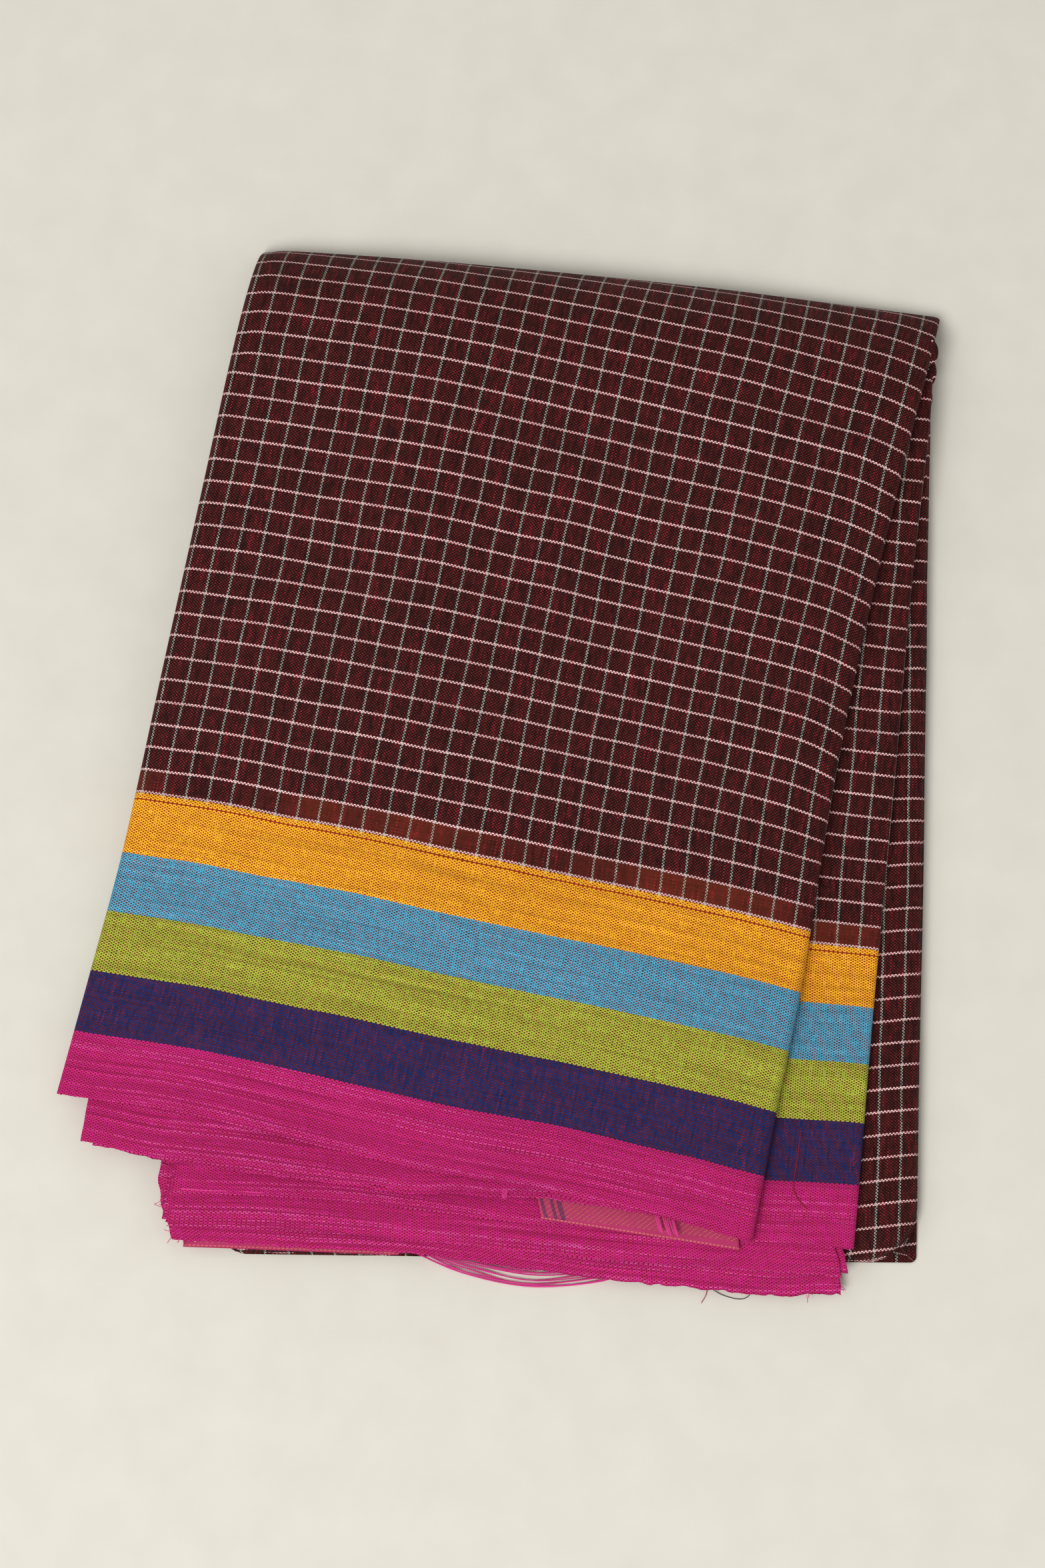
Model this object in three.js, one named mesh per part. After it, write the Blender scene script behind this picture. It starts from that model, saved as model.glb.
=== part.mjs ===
import * as THREE from "three";

// Folded cotton sari. Millimetres: X runs across the pack, Y away from its near edge, Z up.

// Cloth walls and the gap between two sheets.
const seamGap = 0.3;
const coveredGap = 0.4;
const thinWall = 1.0;
const sheetWall = 1.2;
const secondWallCorner = 1.5;
const secondWallFull = 5.0;
const secondWallRun = 140;

// Heights of the sheets over the top of the folded pack.
const bottomUnder = seamGap;
const bottomOver = bottomUnder + thinWall;
const lowerUnder = bottomOver + seamGap;
const lowerOver = lowerUnder + thinWall;
const middleUnder = lowerOver + seamGap;
const middleOver = middleUnder + sheetWall;
const secondUnder = middleOver + coveredGap;
const topOver = secondUnder + secondWallFull + seamGap + sheetWall;

// The far fold: its line in plan, and how far in the sheets start to round over.
const farNormal = new THREE.Vector2(0.1045, 0.9945);
const farLine = 182;
const shoulderRun = 43;
const packShoulderRun = shoulderRun - topOver;
const topLean = {
  left: new THREE.Vector2(0.2009, 0.9844),
  right: new THREE.Vector2(0.2664, 0.9775),
};
const innerLean = {
  left: new THREE.Vector2(0.1, 0.995),
  right: new THREE.Vector2(0.09, 0.996),
};

// The folded pack in plan, and its heights.
const packCorners = {
  nearLeft: new THREE.Vector2(-101, -157),
  nearRight: new THREE.Vector2(131, -160.5),
  farRight: new THREE.Vector2(142.8, 155.5),
  farLeft: new THREE.Vector2(-88, 179.8),
};
const packHalfWidth = 116;
const packHalfLength = 163;
const edgeHeight = { nearRight: 10, nearLeft: 9.5, far: 14 };
const crownRise = 6.5;
const crownRun = { left: 62, right: 76, near: 110 };
// Past the pack's left and near edges the sheets hang down by a share of their height.
const droop = {
  left: { start: 12, run: 72, share: 0.85 },
  near: { start: 18, run: 40, share: 0.85 },
};

// Soft troughs and ridges in the folded cloth: middle, heading in degrees, sizes, height.
const creases = [
  { x: -62, y: 92, heading: 74, length: 90, width: 24, rise: -0.8 },
  { x: -18, y: 22, heading: 101, length: 130, width: 22, rise: 0.7 },
  { x: 44, y: 70, heading: 83, length: 110, width: 20, rise: -0.8 },
  { x: 84, y: 6, heading: 78, length: 88, width: 17, rise: 0.5 },
  { x: -96, y: -40, heading: 62, length: 70, width: 17, rise: -0.6 },
  { x: 8, y: -84, heading: -14, length: 120, width: 20, rise: -0.7 },
  { x: -30, y: 116, heading: -8, length: 104, width: 20, rise: -0.4 },
  { x: 72, y: 104, heading: -4, length: 76, width: 15, rise: 0.5 },
];

// A hollow in the pack's near left corner, where the end panel lies.
const endPocket = { x: -76, y: -152, halfLength: 42, halfWidth: 13, depth: 1.3 };

function smooth(t) {
  const k = Math.min(1, Math.max(0, t));
  return k * k * (3 - 2 * k);
}

function mix(a, b, t) {
  return a + (b - a) * t;
}

// Distance of a plan point to the left of the line from one point to another.
function insideOf(from, to, x, y) {
  const length = Math.hypot(to.x - from.x, to.y - from.y);
  return ((to.x - from.x) * (y - from.y) - (to.y - from.y) * (x - from.x)) / length;
}

function hang(distance, rule) {
  return 1 - rule.share * smooth((rule.start - distance) / rule.run);
}

function creaseHeight(x, y) {
  let height = 0;
  for (const crease of creases) {
    const heading = THREE.MathUtils.degToRad(crease.heading);
    const along = (x - crease.x) * Math.cos(heading) + (y - crease.y) * Math.sin(heading);
    const across = (y - crease.y) * Math.cos(heading) - (x - crease.x) * Math.sin(heading);
    const reach = Math.exp(-Math.pow(along / (crease.length * 0.5), 4));
    height += crease.rise * reach * Math.exp(-Math.pow(across / crease.width, 2));
  }
  return height;
}

// Height of the surface the sheets lie on, before the far fold rounds it over.
function restHeight(x, y) {
  const { nearLeft, nearRight, farRight, farLeft } = packCorners;
  const fromNear = insideOf(nearLeft, nearRight, x, y);
  const fromRight = insideOf(nearRight, farRight, x, y);
  const fromLeft = insideOf(farLeft, nearLeft, x, y);
  const across = smooth(fromRight / (fromLeft + fromRight));
  const nearEdge = mix(edgeHeight.nearRight, edgeHeight.nearLeft, across);
  const farEdge = mix(edgeHeight.nearRight, edgeHeight.far, across);
  const edge = mix(nearEdge, farEdge, smooth(fromNear / (2 * packHalfLength)));
  const crown =
    smooth(fromLeft / crownRun.left) *
    smooth(fromRight / crownRun.right) *
    smooth(fromNear / crownRun.near);
  const fall = hang(fromLeft, droop.left) * hang(fromNear, droop.near);
  return (edge + crownRise * crown + creaseHeight(x, y)) * fall;
}

// Wall of the second flap, thin at its near left corner.
function secondWall(x, y) {
  const corner = secondFlapSections[0];
  const away = Math.hypot(x - corner.leftX, y - corner.leftY);
  return mix(secondWallCorner, secondWallFull, smooth(away / secondWallRun));
}

function topFlapOver(x, y) {
  return secondUnder + secondWall(x, y) + seamGap + sheetWall;
}

// Place on a sheet: plan point, height over the pack, and angle round the far fold.
function placeOn(plan, lean, over, angle) {
  const reach = (packShoulderRun + over) * Math.cos(angle);
  const x = plan.x + lean.x * reach;
  const y = plan.y + lean.y * reach;
  const z = (restHeight(x, y) + over) * Math.sin(angle);
  return new THREE.Vector3(x, y, z);
}

// Value of a table at a place, smooth between its rows.
function tableValue(rows, key, column, at) {
  let i = 0;
  while (i < rows.length - 2 && at > rows[i + 1][key]) i += 1;
  const span = rows[i + 1][key] - rows[i][key];
  return mix(rows[i][column], rows[i + 1][column], smooth((at - rows[i][key]) / span));
}

function edgeCurve(sections, xName, yName) {
  const points = sections.map((row) => new THREE.Vector3(row[xName], row[yName], 0));
  return new THREE.CatmullRomCurve3(points, false, "centripetal");
}

// One closed solid from the matching points of a sheet's two faces.
function sheetSolid(upper, lower) {
  const rows = upper.length;
  const columns = upper[0].length;
  const positions = [];
  const index = [];
  for (const face of [upper, lower])
    for (const row of face) for (const p of row) positions.push(p.x, p.y, p.z);
  const up = (r, c) => r * columns + c;
  const down = (r, c) => rows * columns + r * columns + c;
  const quad = (a, b, c, d) => index.push(a, b, c, a, c, d);
  for (let r = 0; r < rows - 1; r += 1) {
    for (let c = 0; c < columns - 1; c += 1) {
      quad(up(r, c), up(r, c + 1), up(r + 1, c + 1), up(r + 1, c));
      quad(down(r, c), down(r + 1, c), down(r + 1, c + 1), down(r, c + 1));
    }
    quad(up(r, 0), up(r + 1, 0), down(r + 1, 0), down(r, 0));
    quad(up(r + 1, columns - 1), up(r, columns - 1), down(r, columns - 1), down(r + 1, columns - 1));
  }
  for (let c = 0; c < columns - 1; c += 1) {
    quad(up(0, c + 1), up(0, c), down(0, c), down(0, c + 1));
    quad(up(rows - 1, c), up(rows - 1, c + 1), down(rows - 1, c + 1), down(rows - 1, c));
  }
  const geometry = new THREE.BufferGeometry();
  geometry.setAttribute("position", new THREE.Float32BufferAttribute(positions, 3));
  geometry.setIndex(index);
  geometry.computeVertexNormals();
  return geometry;
}

// Angles of a folded edge, from its tip round to the top of the sheet.
function foldAngles(radius, topHeight, steps) {
  const floorClearance = 0.3;
  const room = Math.min(2, Math.max(0.1, (topHeight - floorClearance) / radius));
  const most = Math.acos(1 - room);
  return Array.from({ length: steps }, (_, i) => most * (1 - i / steps));
}

// Rows of a sheet stand closer together towards its near edge.
const rowCrowding = 1.5;
// Columns stand closer together towards both sides.
const columnCrowding = 0.07;

// A sheet laid on the pack. Its sections run from the near edge to the shoulder of the far fold.
function layer(shape) {
  const leftEdge = edgeCurve(shape.sections, "leftX", "leftY");
  const rightEdge = edgeCurve(shape.sections, "rightX", "rightY");
  const upper = [];
  const lower = [];
  const addRow = (t, angle) => {
    const left = leftEdge.getPointAt(t);
    const right = rightEdge.getPointAt(t);
    const width = left.distanceTo(right);
    const across = right.clone().sub(left).divideScalar(width);
    const outward = new THREE.Vector3(across.y, -across.x, 0);
    const fade = Math.pow(1 - t, 4);
    const at = (distance, over) => {
      const u = Math.min(1, Math.max(0, distance / width));
      const out = tableValue(shape.nearEdge, "across", "out", u) * fade;
      const plan = left.clone().addScaledVector(across, distance);
      plan.addScaledVector(outward, out).addScaledVector(outward, -4 * u * (1 - u) * shape.bow * t);
      const lean = shape.lean.left.clone().lerp(shape.lean.right, u);
      return placeOn(plan, lean, over(plan.x, plan.y), angle);
    };
    const upperRow = [];
    const lowerRow = [];
    const addFold = (radius, side) => {
      const from = side < 0 ? radius : width - radius;
      const crest = at(from, shape.over);
      const angles = foldAngles(radius, crest.z, shape.foldSteps);
      if (side > 0) angles.reverse();
      const inner = radius - shape.wall;
      for (const fold of angles) {
        const outPoint = crest.clone().addScaledVector(across, side * radius * Math.sin(fold));
        const inPoint = crest.clone().addScaledVector(across, side * inner * Math.sin(fold));
        const inward = at(from, (x, y) => shape.over(x, y) - shape.wall).sub(crest);
        inPoint.x += inward.x;
        inPoint.y += inward.y;
        outPoint.z -= radius * (1 - Math.cos(fold));
        inPoint.z += inward.z * Math.cos(fold);
        inPoint.z -= radius * (1 - Math.cos(fold));
        upperRow.push(outPoint);
        lowerRow.push(inPoint);
      }
    };
    const leftRadius = shape.leftFold ? shape.leftFold(left.x, left.y) : 0;
    const rightRadius = shape.rightFold ? shape.rightFold(right.x, right.y) : 0;
    if (leftRadius) addFold(leftRadius, -1);
    for (let c = 0; c <= shape.columns; c += 1) {
      const step = c / shape.columns;
      const share = step - columnCrowding * Math.sin(2 * Math.PI * step);
      const distance = mix(leftRadius, width - rightRadius, share);
      upperRow.push(at(distance, shape.over));
      lowerRow.push(at(distance, shape.under));
    }
    if (rightRadius) addFold(rightRadius, 1);
    upper.push(upperRow);
    lower.push(lowerRow);
  };
  for (let r = 0; r <= shape.rows; r += 1) {
    addRow(Math.pow(r / shape.rows, rowCrowding), Math.PI / 2);
  }
  for (let r = 1; r <= shape.farRows; r += 1) {
    addRow(1, mix(Math.PI / 2, shape.lastAngle, r / shape.farRows));
  }
  return sheetSolid(upper, lower);
}

const topFlapSections = [
  { leftX: -155.3, leftY: -104.3, rightX: 75.5, rightY: -154.5 },
  { leftX: -145.0, leftY: -64.0, rightX: 83.8, rightY: -112.2 },
  { leftX: -135.0, leftY: -24.5, rightX: 92.2, rightY: -72.6 },
  { leftX: -121.5, leftY: 42.0, rightX: 105.5, rightY: 3.0 },
  { leftX: -110.5, leftY: 96.0, rightX: 120.0, rightY: 68.0 },
  { leftX: -99.6, leftY: 150.3, rightX: 134.5, rightY: 125.7 },
];
const topFlapNearEdge = [
  { across: 0, out: 0 },
  { across: 0.16, out: -1.8 },
  { across: 0.5, out: 0 },
  { across: 0.74, out: -1.9 },
  { across: 0.88, out: -1.5 },
  { across: 1, out: 0 },
];

const secondFlapSections = [
  { leftX: -147.2, leftY: -120.2, rightX: 70.7, rightY: -151.0 },
  { leftX: -140.4, leftY: -82.0, rightX: 79.0, rightY: -112.0 },
  { leftX: -126.0, leftY: -22.0, rightX: 87.4, rightY: -72.0 },
  { leftX: -111.5, leftY: 44.0, rightX: 100.8, rightY: 4.0 },
  { leftX: -100.5, leftY: 98.0, rightX: 115.3, rightY: 69.0 },
  { leftX: -90.5, leftY: 149.2, rightX: 129.8, rightY: 126.1 },
];
const secondFlapNearEdge = [
  { across: 0, out: 0 },
  { across: 0.13, out: 2.4 },
  { across: 0.49, out: 1.2 },
  { across: 0.7, out: -6.2 },
  { across: 0.88, out: -3.4 },
  { across: 1, out: 0 },
];

const middleFlapSections = [
  { leftX: -115.9, leftY: -137.0, rightX: 109.4, rightY: -156.0 },
  { leftX: -108.4, leftY: -77.0, rightX: 117.0, rightY: -78.0 },
  { leftX: -100.2, leftY: 0.0, rightX: 125.6, rightY: 0.0 },
  { leftX: -92.0, leftY: 76.0, rightX: 133.0, rightY: 70.0 },
  { leftX: -84.5, leftY: 148.6, rightX: 140.2, rightY: 125.1 },
];
const middleFlapNearEdge = [
  { across: 0, out: 0 },
  { across: 0.27, out: -1.0 },
  { across: 0.56, out: 1.2 },
  { across: 0.8, out: 1.6 },
  { across: 1, out: 0 },
];

const lowerFlapSections = [
  { leftX: -118.0, leftY: -147.0, rightX: 107.4, rightY: -164.0 },
  { leftX: -116.2, leftY: -130.0, rightX: 104.6, rightY: -146.0 },
  { leftX: -109.5, leftY: -77.0, rightX: 112.4, rightY: -78.0 },
  { leftX: -101.3, leftY: 0.0, rightX: 121.0, rightY: 0.0 },
  { leftX: -92.5, leftY: 76.0, rightX: 128.4, rightY: 70.0 },
  { leftX: -85.0, leftY: 148.7, rightX: 135.6, rightY: 125.6 },
];
const lowerFlapNearEdge = [
  { across: 0, out: 0 },
  { across: 0.2, out: -2.2 },
  { across: 0.45, out: -1.0 },
  { across: 0.72, out: 1.0 },
  { across: 1, out: 0 },
];

const bottomFlapSections = [
  { leftX: -116.2, leftY: -152.6, rightX: 105.6, rightY: -170.6 },
  { leftX: -120.6, leftY: -134.0, rightX: 104.4, rightY: -148.0 },
  { leftX: -112.0, leftY: -77.0, rightX: 112.0, rightY: -78.0 },
  { leftX: -102.4, leftY: 0.0, rightX: 120.6, rightY: 0.0 },
  { leftX: -93.0, leftY: 76.0, rightX: 128.0, rightY: 70.0 },
  { leftX: -85.5, leftY: 148.7, rightX: 135.2, rightY: 125.6 },
];
const bottomFlapNearEdge = [
  { across: 0, out: 0 },
  { across: 0.19, out: -0.6 },
  { across: 0.34, out: -1.6 },
  { across: 0.69, out: 1.6 },
  { across: 0.89, out: 2.4 },
  { across: 1, out: 0 },
];

const hangingTurn = 0.05;

function fixedOver(height) {
  return () => height;
}

function endStrip(sections, under, over, columns, rows) {
  const leftEdge = edgeCurve(sections, "leftX", "leftY");
  const rightEdge = edgeCurve(sections, "rightX", "rightY");
  const upper = [];
  const lower = [];
  for (let r = 0; r <= rows; r += 1) {
    const left = leftEdge.getPointAt(r / rows);
    const right = rightEdge.getPointAt(r / rows);
    const upperRow = [];
    const lowerRow = [];
    for (let c = 0; c <= columns; c += 1) {
      const plan = left.clone().lerp(right, c / columns);
      const z = restHeight(plan.x, plan.y);
      upperRow.push(new THREE.Vector3(plan.x, plan.y, z + over));
      lowerRow.push(new THREE.Vector3(plan.x, plan.y, z + under));
    }
    upper.push(upperRow);
    lower.push(lowerRow);
  }
  return sheetSolid(upper, lower);
}

// The folded pack: rings round its layered edge, then rings in to the middle of its top.
const cornerSteps = 6;
const longEdgeSteps = 14;
const shortEdgeSteps = 11;
const layerRings = [
  { share: 0, inset: 1.1, earRadius: 5 },
  { share: 0.08, inset: 0.2, earRadius: 3 },
  { share: 0.22, inset: 0, earRadius: 2.5 },
  { share: 0.3, inset: 0.9, earRadius: 3 },
  { share: 0.36, inset: 1.0, earRadius: 12 },
  { share: 0.42, inset: 0.3, earRadius: 13 },
  { share: 0.56, inset: 0.1, earRadius: 13 },
  { share: 0.62, inset: 0.9, earRadius: 13 },
  { share: 0.68, inset: 0.9, earRadius: 13 },
  { share: 0.74, inset: 0.3, earRadius: 14 },
  { share: 0.88, inset: 0.2, earRadius: 14 },
];
const topRings = [
  { inset: 0.7, rise: 0.62, earRadius: 14 },
  { inset: 1.8, rise: 0.74, earRadius: 13 },
  { inset: 3.6, rise: 0.85, earRadius: 12 },
  { inset: 6.5, rise: 0.94, earRadius: 10 },
  { inset: 11, rise: 1, earRadius: 8 },
  { inset: 17, rise: 1, earRadius: 6 },
  { inset: 25, rise: 1, earRadius: 5 },
  { inset: 35, rise: 1, earRadius: 5 },
  { inset: 47, rise: 1, earRadius: 5 },
  { inset: 60, rise: 1, earRadius: 5 },
  { inset: 75, rise: 1, earRadius: 5 },
  { inset: 95, rise: 1, earRadius: 5 },
];
const edgeShare = 0.56;
const packCornerRadius = 9;
const topFaceClearance = 0.15;

function packPlan(localX, localY) {
  const u = (localX / packHalfWidth + 1) / 2;
  const v = (localY / packHalfLength + 1) / 2;
  const near = packCorners.nearLeft.clone().lerp(packCorners.nearRight, u);
  const far = packCorners.farLeft.clone().lerp(packCorners.farRight, u);
  return near.lerp(far, v);
}

function ringPlan(inset, earRadius) {
  const halfWidth = packHalfWidth - inset;
  const halfLength = packHalfLength - inset;
  const plain = Math.max(2, packCornerRadius - inset);
  const corners = [
    { sideX: 1, sideY: -1, radius: Math.max(2, earRadius), start: -90, steps: longEdgeSteps },
    { sideX: 1, sideY: 1, radius: plain, start: 0, steps: shortEdgeSteps },
    { sideX: -1, sideY: 1, radius: plain, start: 90, steps: longEdgeSteps },
    { sideX: -1, sideY: -1, radius: plain, start: 180, steps: shortEdgeSteps },
  ];
  const arcs = corners.map((corner) => {
    const centreX = corner.sideX * (halfWidth - corner.radius);
    const centreY = corner.sideY * (halfLength - corner.radius);
    return Array.from({ length: cornerSteps + 1 }, (_, i) => {
      const turn = THREE.MathUtils.degToRad(corner.start + (90 * i) / cornerSteps);
      return {
        x: centreX + corner.radius * Math.cos(turn),
        y: centreY + corner.radius * Math.sin(turn),
      };
    });
  });
  const ring = [];
  arcs.forEach((arc, i) => {
    ring.push(...arc);
    const last = arc[cornerSteps];
    const next = arcs[(i + 1) % arcs.length][0];
    for (let k = 1; k < corners[i].steps; k += 1) {
      const t = k / corners[i].steps;
      ring.push({ x: mix(last.x, next.x, t), y: mix(last.y, next.y, t) });
    }
  });
  return ring.map((p) => packPlan(p.x, p.y));
}

function packTop(plan) {
  const fromFar = farLine - farNormal.dot(plan);
  const beyond = Math.max(0, shoulderRun - fromFar) / packShoulderRun;
  const rounded = Math.sqrt(Math.max(0.02, 1 - beyond * beyond));
  const alongPocket = Math.abs(plan.x - endPocket.x) / endPocket.halfLength;
  const acrossPocket = Math.abs(plan.y - endPocket.y) / endPocket.halfWidth;
  const pocket = smooth((1.5 - alongPocket) * 2) * smooth((1.7 - acrossPocket) * 1.6);
  return (restHeight(plan.x, plan.y) - endPocket.depth * pocket) * rounded - topFaceClearance;
}

function packSolid() {
  const rings = [];
  for (const row of layerRings) {
    const plan = ringPlan(row.inset, row.earRadius);
    rings.push(plan.map((p) => new THREE.Vector3(p.x, p.y, packTop(p) * edgeShare * row.share)));
  }
  for (const row of topRings) {
    const plan = ringPlan(row.inset, row.earRadius);
    rings.push(plan.map((p) => new THREE.Vector3(p.x, p.y, packTop(p) * row.rise)));
  }
  const count = rings[0].length;
  const positions = [];
  const index = [];
  for (const ring of rings) for (const p of ring) positions.push(p.x, p.y, p.z);
  for (let r = 0; r < rings.length - 1; r += 1) {
    for (let i = 0; i < count; i += 1) {
      const next = (i + 1) % count;
      const a = r * count + i;
      const b = r * count + next;
      const c = (r + 1) * count + next;
      const d = (r + 1) * count + i;
      index.push(a, b, c, a, c, d);
    }
  }
  const middle = packPlan(0, 0);
  const underMiddle = positions.length / 3;
  positions.push(middle.x, middle.y, 0);
  const topMiddle = underMiddle + 1;
  positions.push(middle.x, middle.y, packTop(middle));
  const lastRing = (rings.length - 1) * count;
  for (let i = 0; i < count; i += 1) {
    const next = (i + 1) % count;
    index.push(underMiddle, next, i);
    index.push(topMiddle, lastRing + i, lastRing + next);
  }
  const geometry = new THREE.BufferGeometry();
  geometry.setAttribute("position", new THREE.Float32BufferAttribute(positions, 3));
  geometry.setIndex(index);
  geometry.computeVertexNormals();
  return geometry;
}

const endRightSections = [
  { leftX: 6.2, leftY: -147.2, rightX: 71.6, rightY: -157.2 },
  { leftX: 4.6, leftY: -137.6, rightX: 71.2, rightY: -153.2 },
];
const endRightWall = 1.2;
const endLeftSections = [
  { leftX: -112.6, leftY: -155.6, rightX: -41.0, rightY: -159.6 },
  { leftX: -110.4, leftY: -142.0, rightX: -39.8, rightY: -146.0 },
];

const checkedCloth = { color: 0x4b1c20, roughness: 0.9, metalness: 0 };
const magentaCloth = { color: 0xbe1e73, roughness: 0.9, metalness: 0 };
const goldCloth = { color: 0xb4707a, roughness: 0.7, metalness: 0 };

const sari = new THREE.Group();
sari.name = "folded_sari";

function addNode(name, geometry, look) {
  const mesh = new THREE.Mesh(geometry, new THREE.MeshStandardMaterial(look));
  mesh.name = name;
  sari.add(mesh);
}

addNode("base_pack", packSolid(), checkedCloth);

addNode(
  "zari_end_left",
  endStrip(endLeftSections, seamGap - endPocket.depth, 0, 14, 4),
  goldCloth,
);

addNode(
  "bottom_flap",
  layer({
    lean: innerLean,
    sections: bottomFlapSections,
    nearEdge: bottomFlapNearEdge,
    bow: 2,
    wall: thinWall,
    over: fixedOver(bottomOver),
    under: fixedOver(bottomUnder),
    columns: 16,
    rows: 18,
    farRows: 4,
    lastAngle: 0.9,
  }),
  magentaCloth,
);

addNode(
  "lower_flap",
  layer({
    lean: innerLean,
    sections: lowerFlapSections,
    nearEdge: lowerFlapNearEdge,
    bow: 2,
    wall: thinWall,
    over: fixedOver(lowerOver),
    under: fixedOver(lowerUnder),
    columns: 16,
    rows: 18,
    farRows: 4,
    lastAngle: 0.9,
  }),
  magentaCloth,
);

addNode(
  "middle_flap",
  layer({
    lean: innerLean,
    sections: middleFlapSections,
    nearEdge: middleFlapNearEdge,
    bow: 2,
    wall: sheetWall,
    over: fixedOver(middleOver),
    under: fixedOver(middleUnder),
    rightFold: () => (middleOver - bottomUnder) / 2,
    foldSteps: 5,
    columns: 20,
    rows: 22,
    farRows: 7,
    lastAngle: 0.35,
  }),
  checkedCloth,
);

addNode(
  "zari_end_right",
  endStrip(endRightSections, secondUnder, secondUnder + endRightWall, 14, 3),
  goldCloth,
);

addNode(
  "second_flap",
  layer({
    lean: topLean,
    sections: secondFlapSections,
    nearEdge: secondFlapNearEdge,
    bow: 2,
    wall: secondWallFull,
    over: (x, y) => secondUnder + secondWall(x, y),
    under: fixedOver(secondUnder),
    columns: 18,
    rows: 20,
    farRows: 7,
    lastAngle: 0.5,
  }),
  magentaCloth,
);

addNode(
  "top_flap",
  layer({
    lean: topLean,
    sections: topFlapSections,
    nearEdge: topFlapNearEdge,
    bow: 2,
    wall: sheetWall,
    over: topFlapOver,
    under: (x, y) => topFlapOver(x, y) - sheetWall,
    leftFold: (x, y) => (secondWall(x, y) + seamGap + sheetWall) / 2,
    rightFold: (x, y) => (secondWall(x, y) + seamGap + sheetWall) / 2,
    foldSteps: 5,
    columns: 26,
    rows: 26,
    farRows: 9,
    lastAngle: hangingTurn,
  }),
  checkedCloth,
);

// The middle of the sari's box stands over the origin, on the floor.
const box = new THREE.Box3().setFromObject(sari, true);
const middle = box.getCenter(new THREE.Vector3());
for (const mesh of sari.children) mesh.position.set(-middle.x, -middle.y, -box.min.z);

export default sari;
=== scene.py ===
import math
import random

import bpy
import numpy as np
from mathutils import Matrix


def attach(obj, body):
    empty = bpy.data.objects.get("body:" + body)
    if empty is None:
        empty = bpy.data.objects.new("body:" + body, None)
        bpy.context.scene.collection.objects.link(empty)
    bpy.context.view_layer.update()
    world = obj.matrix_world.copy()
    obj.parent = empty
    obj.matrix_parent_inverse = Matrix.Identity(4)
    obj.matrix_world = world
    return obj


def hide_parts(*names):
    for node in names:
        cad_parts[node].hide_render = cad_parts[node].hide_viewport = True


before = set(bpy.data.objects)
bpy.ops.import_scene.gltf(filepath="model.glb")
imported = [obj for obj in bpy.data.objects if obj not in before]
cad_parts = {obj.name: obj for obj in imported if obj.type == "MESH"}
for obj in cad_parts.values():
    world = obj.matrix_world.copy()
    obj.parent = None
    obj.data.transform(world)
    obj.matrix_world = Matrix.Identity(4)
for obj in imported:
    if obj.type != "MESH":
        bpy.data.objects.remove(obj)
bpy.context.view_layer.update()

# Lengths below are millimetres of the folded sari; mm turns them into the scene's metres.
mm = 0.001
random.seed(41)

view = {
    "lens": 85,
    "frameHeight": 36,
    "distance": 1250,
    "elevation": 79,
    "aim": (4.8, -10.8, 12),
    "clipStart": 50,
}
rise = math.radians(view["elevation"])
aimX, aimY, aimZ = view["aim"]
standOff = view["distance"] * math.cos(rise)
bpy.ops.object.camera_add(
    location=(aimX * mm, (aimY - standOff) * mm, (aimZ + view["distance"] * math.sin(rise)) * mm),
    rotation=(math.pi / 2 - rise, 0, 0),
)
camera = bpy.context.object
camera.name = "saleCamera"
camera.data.sensor_fit = "VERTICAL"
camera.data.sensor_height = view["frameHeight"]
camera.data.lens = view["lens"]
camera.data.clip_start = view["clipStart"] * mm
bpy.context.scene.camera = camera
bpy.context.scene.view_settings.view_transform = "Standard"
print("camera set")

light = {
    "sky": (0.985, 0.985, 0.97),
    "skyStrength": 0.45,
    "window": {"place": (-800, -1250, 2150), "size": 1200, "power": 38, "colour": (1.0, 0.992, 0.98)},
    "bounce": {"place": (-1400, 300, 1900), "size": 1300, "power": 4, "colour": (1.0, 0.98, 0.95)},
}


def addSoftLamp(name, rule):
    x, y, z = (v * mm for v in rule["place"])
    turn = (math.atan2(math.hypot(x, y), z), 0, math.atan2(x, -y))
    bpy.ops.object.light_add(type="AREA", location=(x, y, z), rotation=turn)
    lamp = bpy.context.object
    lamp.name = name
    lamp.data.shape = "DISK"
    lamp.data.size = rule["size"] * mm
    lamp.data.energy = rule["power"]
    lamp.data.color = rule["colour"]


addSoftLamp("windowLight", light["window"])
addSoftLamp("bounceLight", light["bounce"])
world = bpy.data.worlds.new("softRoom")
world.use_nodes = True
world.node_tree.nodes["Background"].inputs["Color"].default_value = (*light["sky"], 1)
world.node_tree.nodes["Background"].inputs["Strength"].default_value = light["skyStrength"]
bpy.context.scene.world = world
print("lights set")

# The folded form, as in the solids: a far fold, the pack under the flaps and the heights of the sheets.
farFold = {"normal": (0.1045, 0.9945), "line": 182.0, "run": 43.0}
# The photo's own middle is moved to the frame's origin.
toOrigin = np.array([4.785, -10.755, 0.0])
pack = {
    "nearLeft": (-101.0, -157.0),
    "nearRight": (131.0, -160.5),
    "farRight": (142.8, 155.5),
    "farLeft": (-88.0, 179.8),
    "halfWidth": 116.0,
    "halfLength": 163.0,
    "edgeNearRight": 10.0,
    "edgeNearLeft": 9.5,
    "edgeFar": 14.0,
    "crownRise": 6.5,
    "crownLeft": 62.0,
    "crownRight": 76.0,
    "crownNear": 110.0,
    "hangLeft": (12.0, 72.0, 0.85),
    "hangNear": (18.0, 40.0, 0.85),
}
stack = {
    "bottom": 1.3,
    "lower": 2.6,
    "middle": 4.1,
    "second": 4.5,
    "wallCorner": 1.5,
    "wallFull": 5.0,
    "wallRun": 140.0,
    "thinCorner": (-147.2, -120.2),
    "gap": 0.3,
    "sheet": 1.2,
    "overTop": 1.5,
}
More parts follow.
